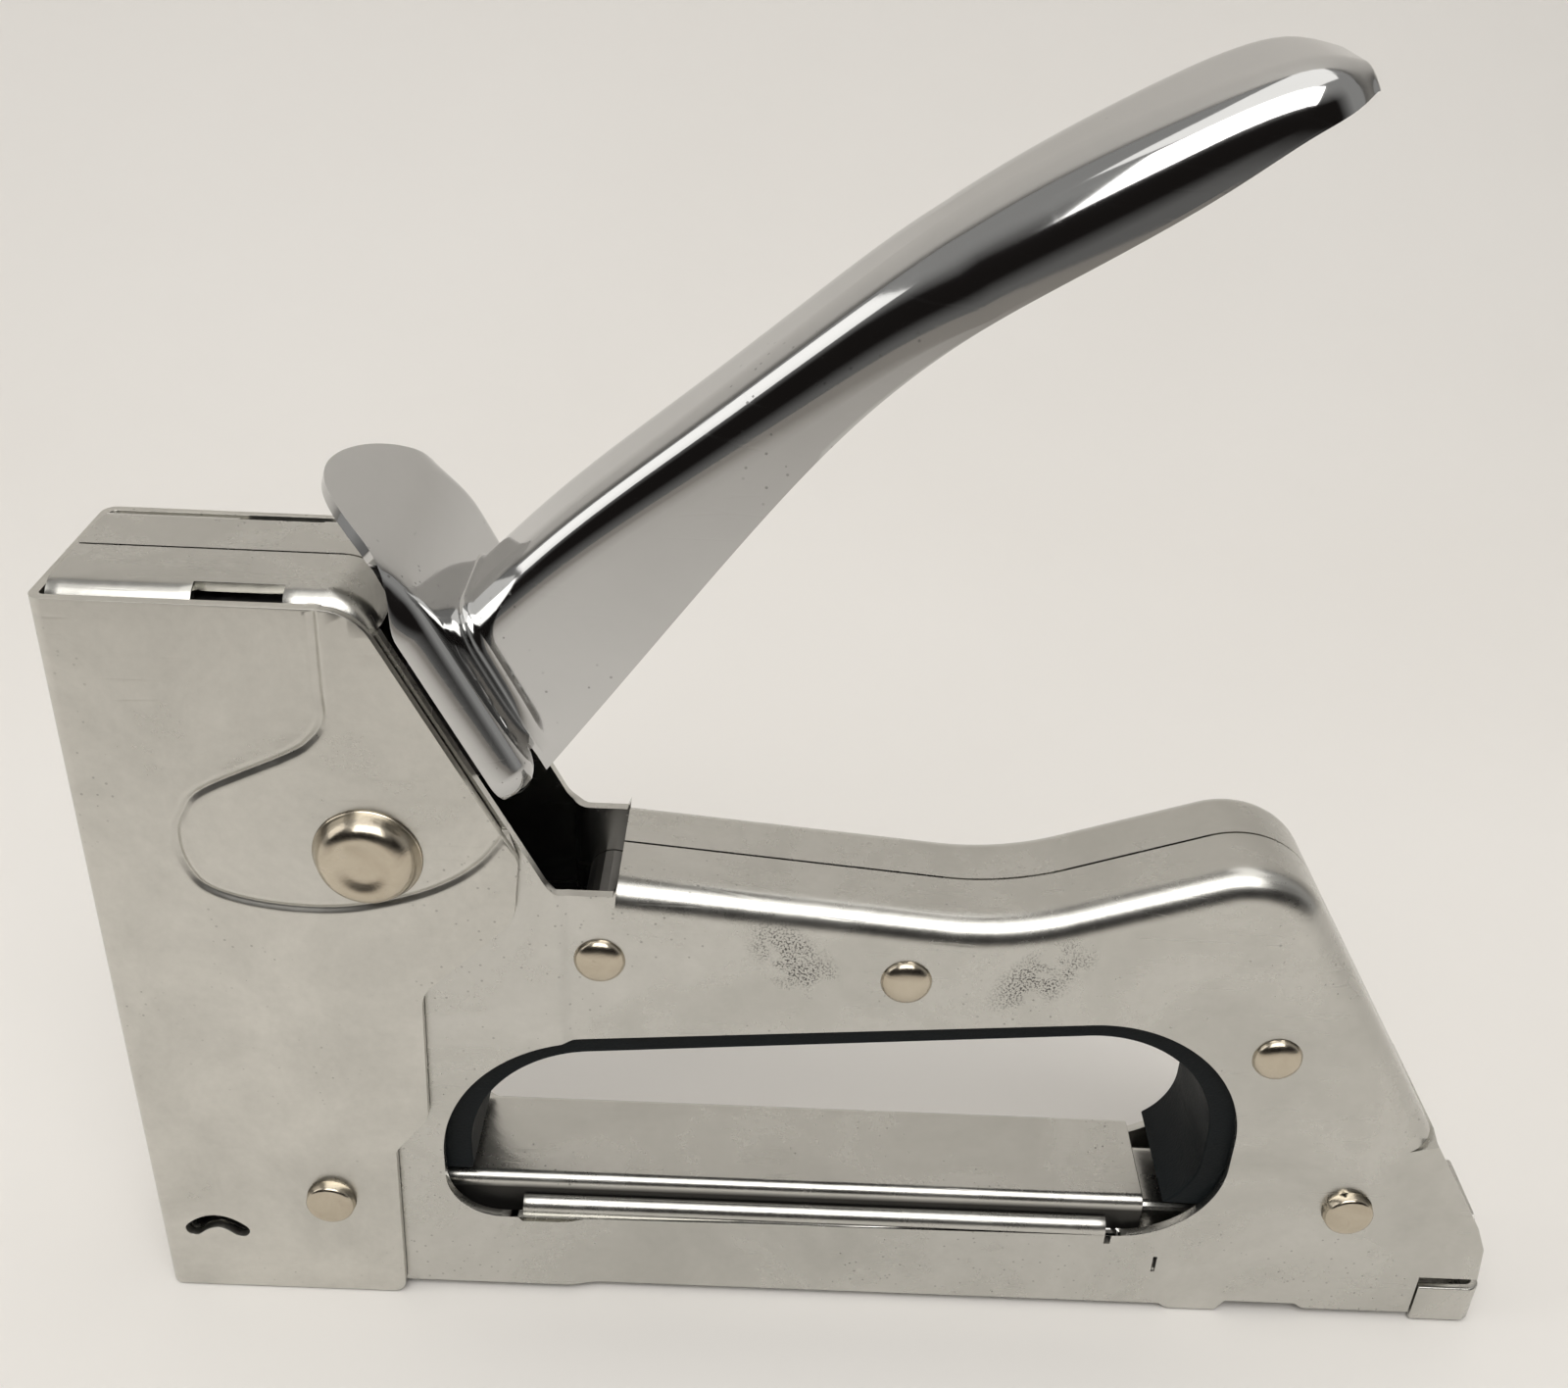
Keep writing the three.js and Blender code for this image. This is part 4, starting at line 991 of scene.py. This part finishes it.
pivot_mesh = baked(spun("pivot", smoothed(pivot_profile(), 3).clip([0, -99], [99, 99]), *PIVOT),
                   ("WEIGHTED_NORMAL", {"keep_sharp": True}))
finished("pivot_rivet_turned", pivot_mesh, NICKEL, "frame", ["pivot_rivet"])

# %% [markdown]
# ## Springs by Geometry Nodes
#
# A coil spring follows a rule: so many turns of wire on a radius, over a length. The tree draws a
# spiral and sweeps a round wire along it.

# %% Spring tree
def spring_tree():
    """A coil spring from its turns, radius, wire and length."""
    tree, given, out = shape_tree("coil spring", [
        ("Turns", "Float", 12.0), ("Coil radius", "Float", 0.003), ("Wire radius", "Float", 0.0006),
        ("Length", "Float", 0.04), ("Start", "Vector", None), ("Turned", "Vector", None)])
    spiral = add_node(tree, "GeometryNodeCurveSpiral", {
        "Resolution": 30, "Rotations": given["Turns"], "Height": given["Length"],
        "Start Radius": given["Coil radius"], "End Radius": given["Coil radius"]})
    wire = add_node(tree, "GeometryNodeCurvePrimitiveCircle", {
        "Resolution": 12, "Radius": given["Wire radius"]})
    sweep = add_node(tree, "GeometryNodeCurveToMesh", {
        "Curve": spiral.outputs["Curve"], "Profile Curve": wire.outputs["Curve"], "Fill Caps": True})
    place = add_node(tree, "GeometryNodeTransform", {
        "Geometry": sweep.outputs["Mesh"], "Translation": given["Start"], "Rotation": given["Turned"]})
    close_tree(tree, given, out, place.outputs["Geometry"])
    return tree


SPRING_TREE = spring_tree()


def spring_piece(name, start, turned, turns, radius, wire, length, body, node):
    """One spring as a piece."""
    mesh = grown(name, [(0, 0, 0)], SPRING_TREE, {
        "Turns": float(turns), "Coil radius": radius / 1000, "Wire radius": wire / 1000,
        "Length": length / 1000, "Start": tuple(metres(start)), "Turned": turned, "Finish": SPRING_STEEL})
    return finished(name, mesh, SPRING_STEEL, body, [node])


main_spring = spring_piece("drive_spring", (14.6, 0, 42.4), (0, 0, 0), 13, 3.1, 0.65, 41.3,
                           "frame", "main_spring")
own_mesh(main_spring)
feed_spring = spring_piece("feed_spring", (18.2, 0, 7.5), (0, math.pi / 2, 0), 34, 2.3, 0.33, 123.2,
                           "rail", "pusher_spring")
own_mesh(feed_spring)

# %% [markdown]
# ## Finger liner
#
# A moulded band lines the finger hole and keeps the fingers off the steel edge. It is drawn as an arch
# from the side, given its width, and rounded along every edge.

# %% Liner
def arch(loop):
    """The part of a loop above the liner's two feet, from the right foot round to the left."""
    floor = np.where(loop[:, 0] < 70, 17.0, 15.6)
    keep = loop[:, 1] > floor
    first = int(np.argmax(keep & ~np.roll(keep, 1)))
    loop, keep = np.roll(loop, -first, 0), np.roll(keep, -first)
    return loop[keep]


LINER_HALF = 7.0
flat, faces = fill([np.vstack([arch(hole_loop(1.6)), arch(hole_loop(-2.7))[::-1]])])
liner_skin = Skin()
liner_skin.add([(x, -LINER_HALF, z) for x, z in flat], faces)
liner_mesh = sheet_mesh("liner", [liner_skin.welded((0, -1, 0))], 2 * LINER_HALF, 0.6, even=False, segments=3)
finished("finger_hole_liner", liner_mesh, PLASTIC, "frame", ["finger_liner"])

# %% [markdown]
# ## Magazine cover and rail latch
#
# Both are folded channels: a section line that is drawn once and carried along a straight run.

# %% Channels
magazine_line = rounded([(-MAGAZINE_HALF, 1.4), (-MAGAZINE_HALF, MAGAZINE_TOP, 1.2),
                         (MAGAZINE_HALF, MAGAZINE_TOP, 1.2), (MAGAZINE_HALF, 1.4)], closed=False, step=0.15)
magazine_rows = [[(x, y, z) for y, z in magazine_line] for x in np.linspace(4.6, 109, 30)]
magazine_skin = net_skin(magazine_rows, (0, 0, 1))
finished("magazine_channel", sheet_mesh("magazine channel", [magazine_skin], 0.8), MAGAZINE_ZINC,
         "frame", ["magazine_cover"])

LATCH_FRONT, LATCH_HALF = 141.4, 8.35
latch_line = rounded([(LATCH_FRONT, -LATCH_HALF), (LENGTH, -LATCH_HALF, 1.6),
                      (LENGTH, LATCH_HALF, 1.6), (LATCH_FRONT, LATCH_HALF)], closed=False, step=0.2)
latch_skin = net_skin([[(x, y, z) for x, y in latch_line] for z in (0.05, 1.5, 3.5, 5.3)], (1, 0, 0))
finished("rail_end_latch", sheet_mesh("rail end latch", [latch_skin], 0.9, 0.2), ZINC,
         "rail", ["rail_latch"])

# %% [markdown]
# ## Inner works
#
# The pieces inside are right as the model has them, so they stay and only get their finishes.

# %% Inner finishes
INNER = {
    TOOL_STEEL: ["grip_spacer_front", "grip_spacer_middle", "grip_spacer_rear", "heel_spacer", "nose_plate",
                 "spring_cap", "lever_arm_near", "lever_arm_far", "lifting_pin", "plunger", "striker_blade",
                 "guide_rod", "pusher"],
    NICKEL: ["blade_rivet_lower", "blade_rivet_upper"],
    ZINC: ["bumper_bracket", "magazine_rail"],
    BRASS: ["pivot_bush"],
    RUBBER: ["bumper"],
    PLASTIC: ["rod_block"],
}
for finish, names in INNER.items():
    for name in names:
        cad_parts[name].material_slots[0].material = finish
    print(finish.name, "on", len(names), "inner pieces")

# %% [markdown]
# ## Floor, light and camera
#
# A sheet of pale paper curves up behind the gun, with painted shade on it well in front of the gun. Large
# soft lights hang overhead, at the side and high in front, and the room is pale but darker on the side the
# viewer stands, which is what draws dark bands into polished chrome.

# %% Floor and light
def paper_finish():
    """Matt paper with a very faint unevenness, and painted shade that darkens it well in front of the gun."""
    finish, tree, shader, where = new_finish("pale paper")
    tone = toned(tree, noise(tree, where, 9, 4), (0.80, 0.775, 0.74), (0.84, 0.82, 0.79))
    # Painted shade: from 0.12 m to 0.36 m in front of the gun the paper turns dark, for the shaded side of
    # the room where the viewer stands.
    painted_shade_in_front = remapped(tree, parts_of(tree, where)["Y"], -0.12, -0.36, 0, 1)
    tree.links.new(toned(tree, painted_shade_in_front, tone, (0.30, 0.28, 0.255)), shader["Base Color"])
    shader["Roughness"].default_value = 0.75
    return finish


def paper_sweep():
    """The floor, curved up into a backdrop."""
    bend = 0.22
    profile = [(-0.60, 0.0), (0.20, 0.0)]
    profile += [(0.20 + bend * math.sin(a), bend * (1 - math.cos(a))) for a in np.linspace(0.1, 1.45, 24)]
    profile += [(0.45, 1.2)]
    mesh = bpy.data.meshes.new("paper")
    points = [(x, y, z - 0.0002) for y, z in profile for x in (-1.8, 1.8)]
    faces = [(2 * i, 2 * i + 1, 2 * i + 3, 2 * i + 2) for i in range(len(profile) - 1)]
    mesh.from_pydata(points, [], faces)
    mesh.shade_smooth()
    mesh.materials.append(paper_finish())
    paper = placed("paper", mesh)


def room():
    """Pale surroundings, dark towards the viewer at eye height."""
    world = bpy.data.worlds.new("room")
    world.use_nodes = True
    tree = world.node_tree
    _, y, z = parts_of(tree, add_node(tree, "ShaderNodeTexCoord").outputs["Generated"])
    towards = remapped(tree, times(tree, y, -1), 0.1, 0.5, 0, 1)
    low = remapped(tree, z, -0.12, 0.12, 0.55, 1)
    high = remapped(tree, z, 0.5, 0.78, 1, 0)
    dark = times(tree, towards, low, high)
    back = tree.nodes["Background"].inputs
    tree.links.new(toned(tree, dark, (0.86, 0.85, 0.83), (0.03, 0.026, 0.024)), back["Color"])
    back["Strength"].default_value = 0.42
    bpy.context.scene.world = world


def soft_light(name, place, size, power):
    """A wide soft light that points at the gun."""
    lamp = bpy.data.lights.new(name, "AREA")
    lamp.shape, lamp.size, lamp.size_y = "RECTANGLE", size[0], size[1]
    lamp.energy, lamp.color = power, (1, 0.985, 0.96)
    holder = placed(name, lamp)
    holder.matrix_world = (Vector((0, 0, 0.05)) - Vector(place)).to_track_quat("-Z", "Y").to_matrix().to_4x4()
    holder.location = place


paper_sweep()
room()
bpy.context.scene.view_settings.view_transform = "Standard"
soft_light("overhead", (0.05, -0.05, 1.1), (1.1, 0.8), 2.9)
soft_light("side", (-0.9, -0.1, 0.55), (0.5, 0.6), 1.2)
soft_light("front", (0.0, -0.58, 0.92), (1.0, 0.6), 6.4)

# %% Camera
EYE = Vector((-0.00909, -0.13602, 0.15478))
PITCH, YAW, ROLL = (math.radians(a) for a in (30.41, 0.53, -2.64))


def eye_matrix():
    """The camera's place and turn: yaw, then pitch down, then roll."""
    level = Vector((math.sin(YAW), math.cos(YAW), 0))
    right = Vector((math.cos(YAW), -math.sin(YAW), 0))
    ahead = level * math.cos(PITCH) - Vector((0, 0, math.sin(PITCH)))
    down = ahead.cross(right)
    c, s = math.cos(ROLL), math.sin(ROLL)
    across = right * c + down * s
    below = down * c - right * s
    return Matrix((across, -below, -ahead)).transposed().to_4x4()


lens = bpy.data.cameras.new("viewer")
lens.sensor_width, lens.lens = 36, 1677 * 36 / 1600
lens.clip_start, lens.clip_end = 0.01, 20
viewer = placed("viewer", lens)
viewer.matrix_world = eye_matrix()
viewer.location = EYE
bpy.context.scene.camera = viewer
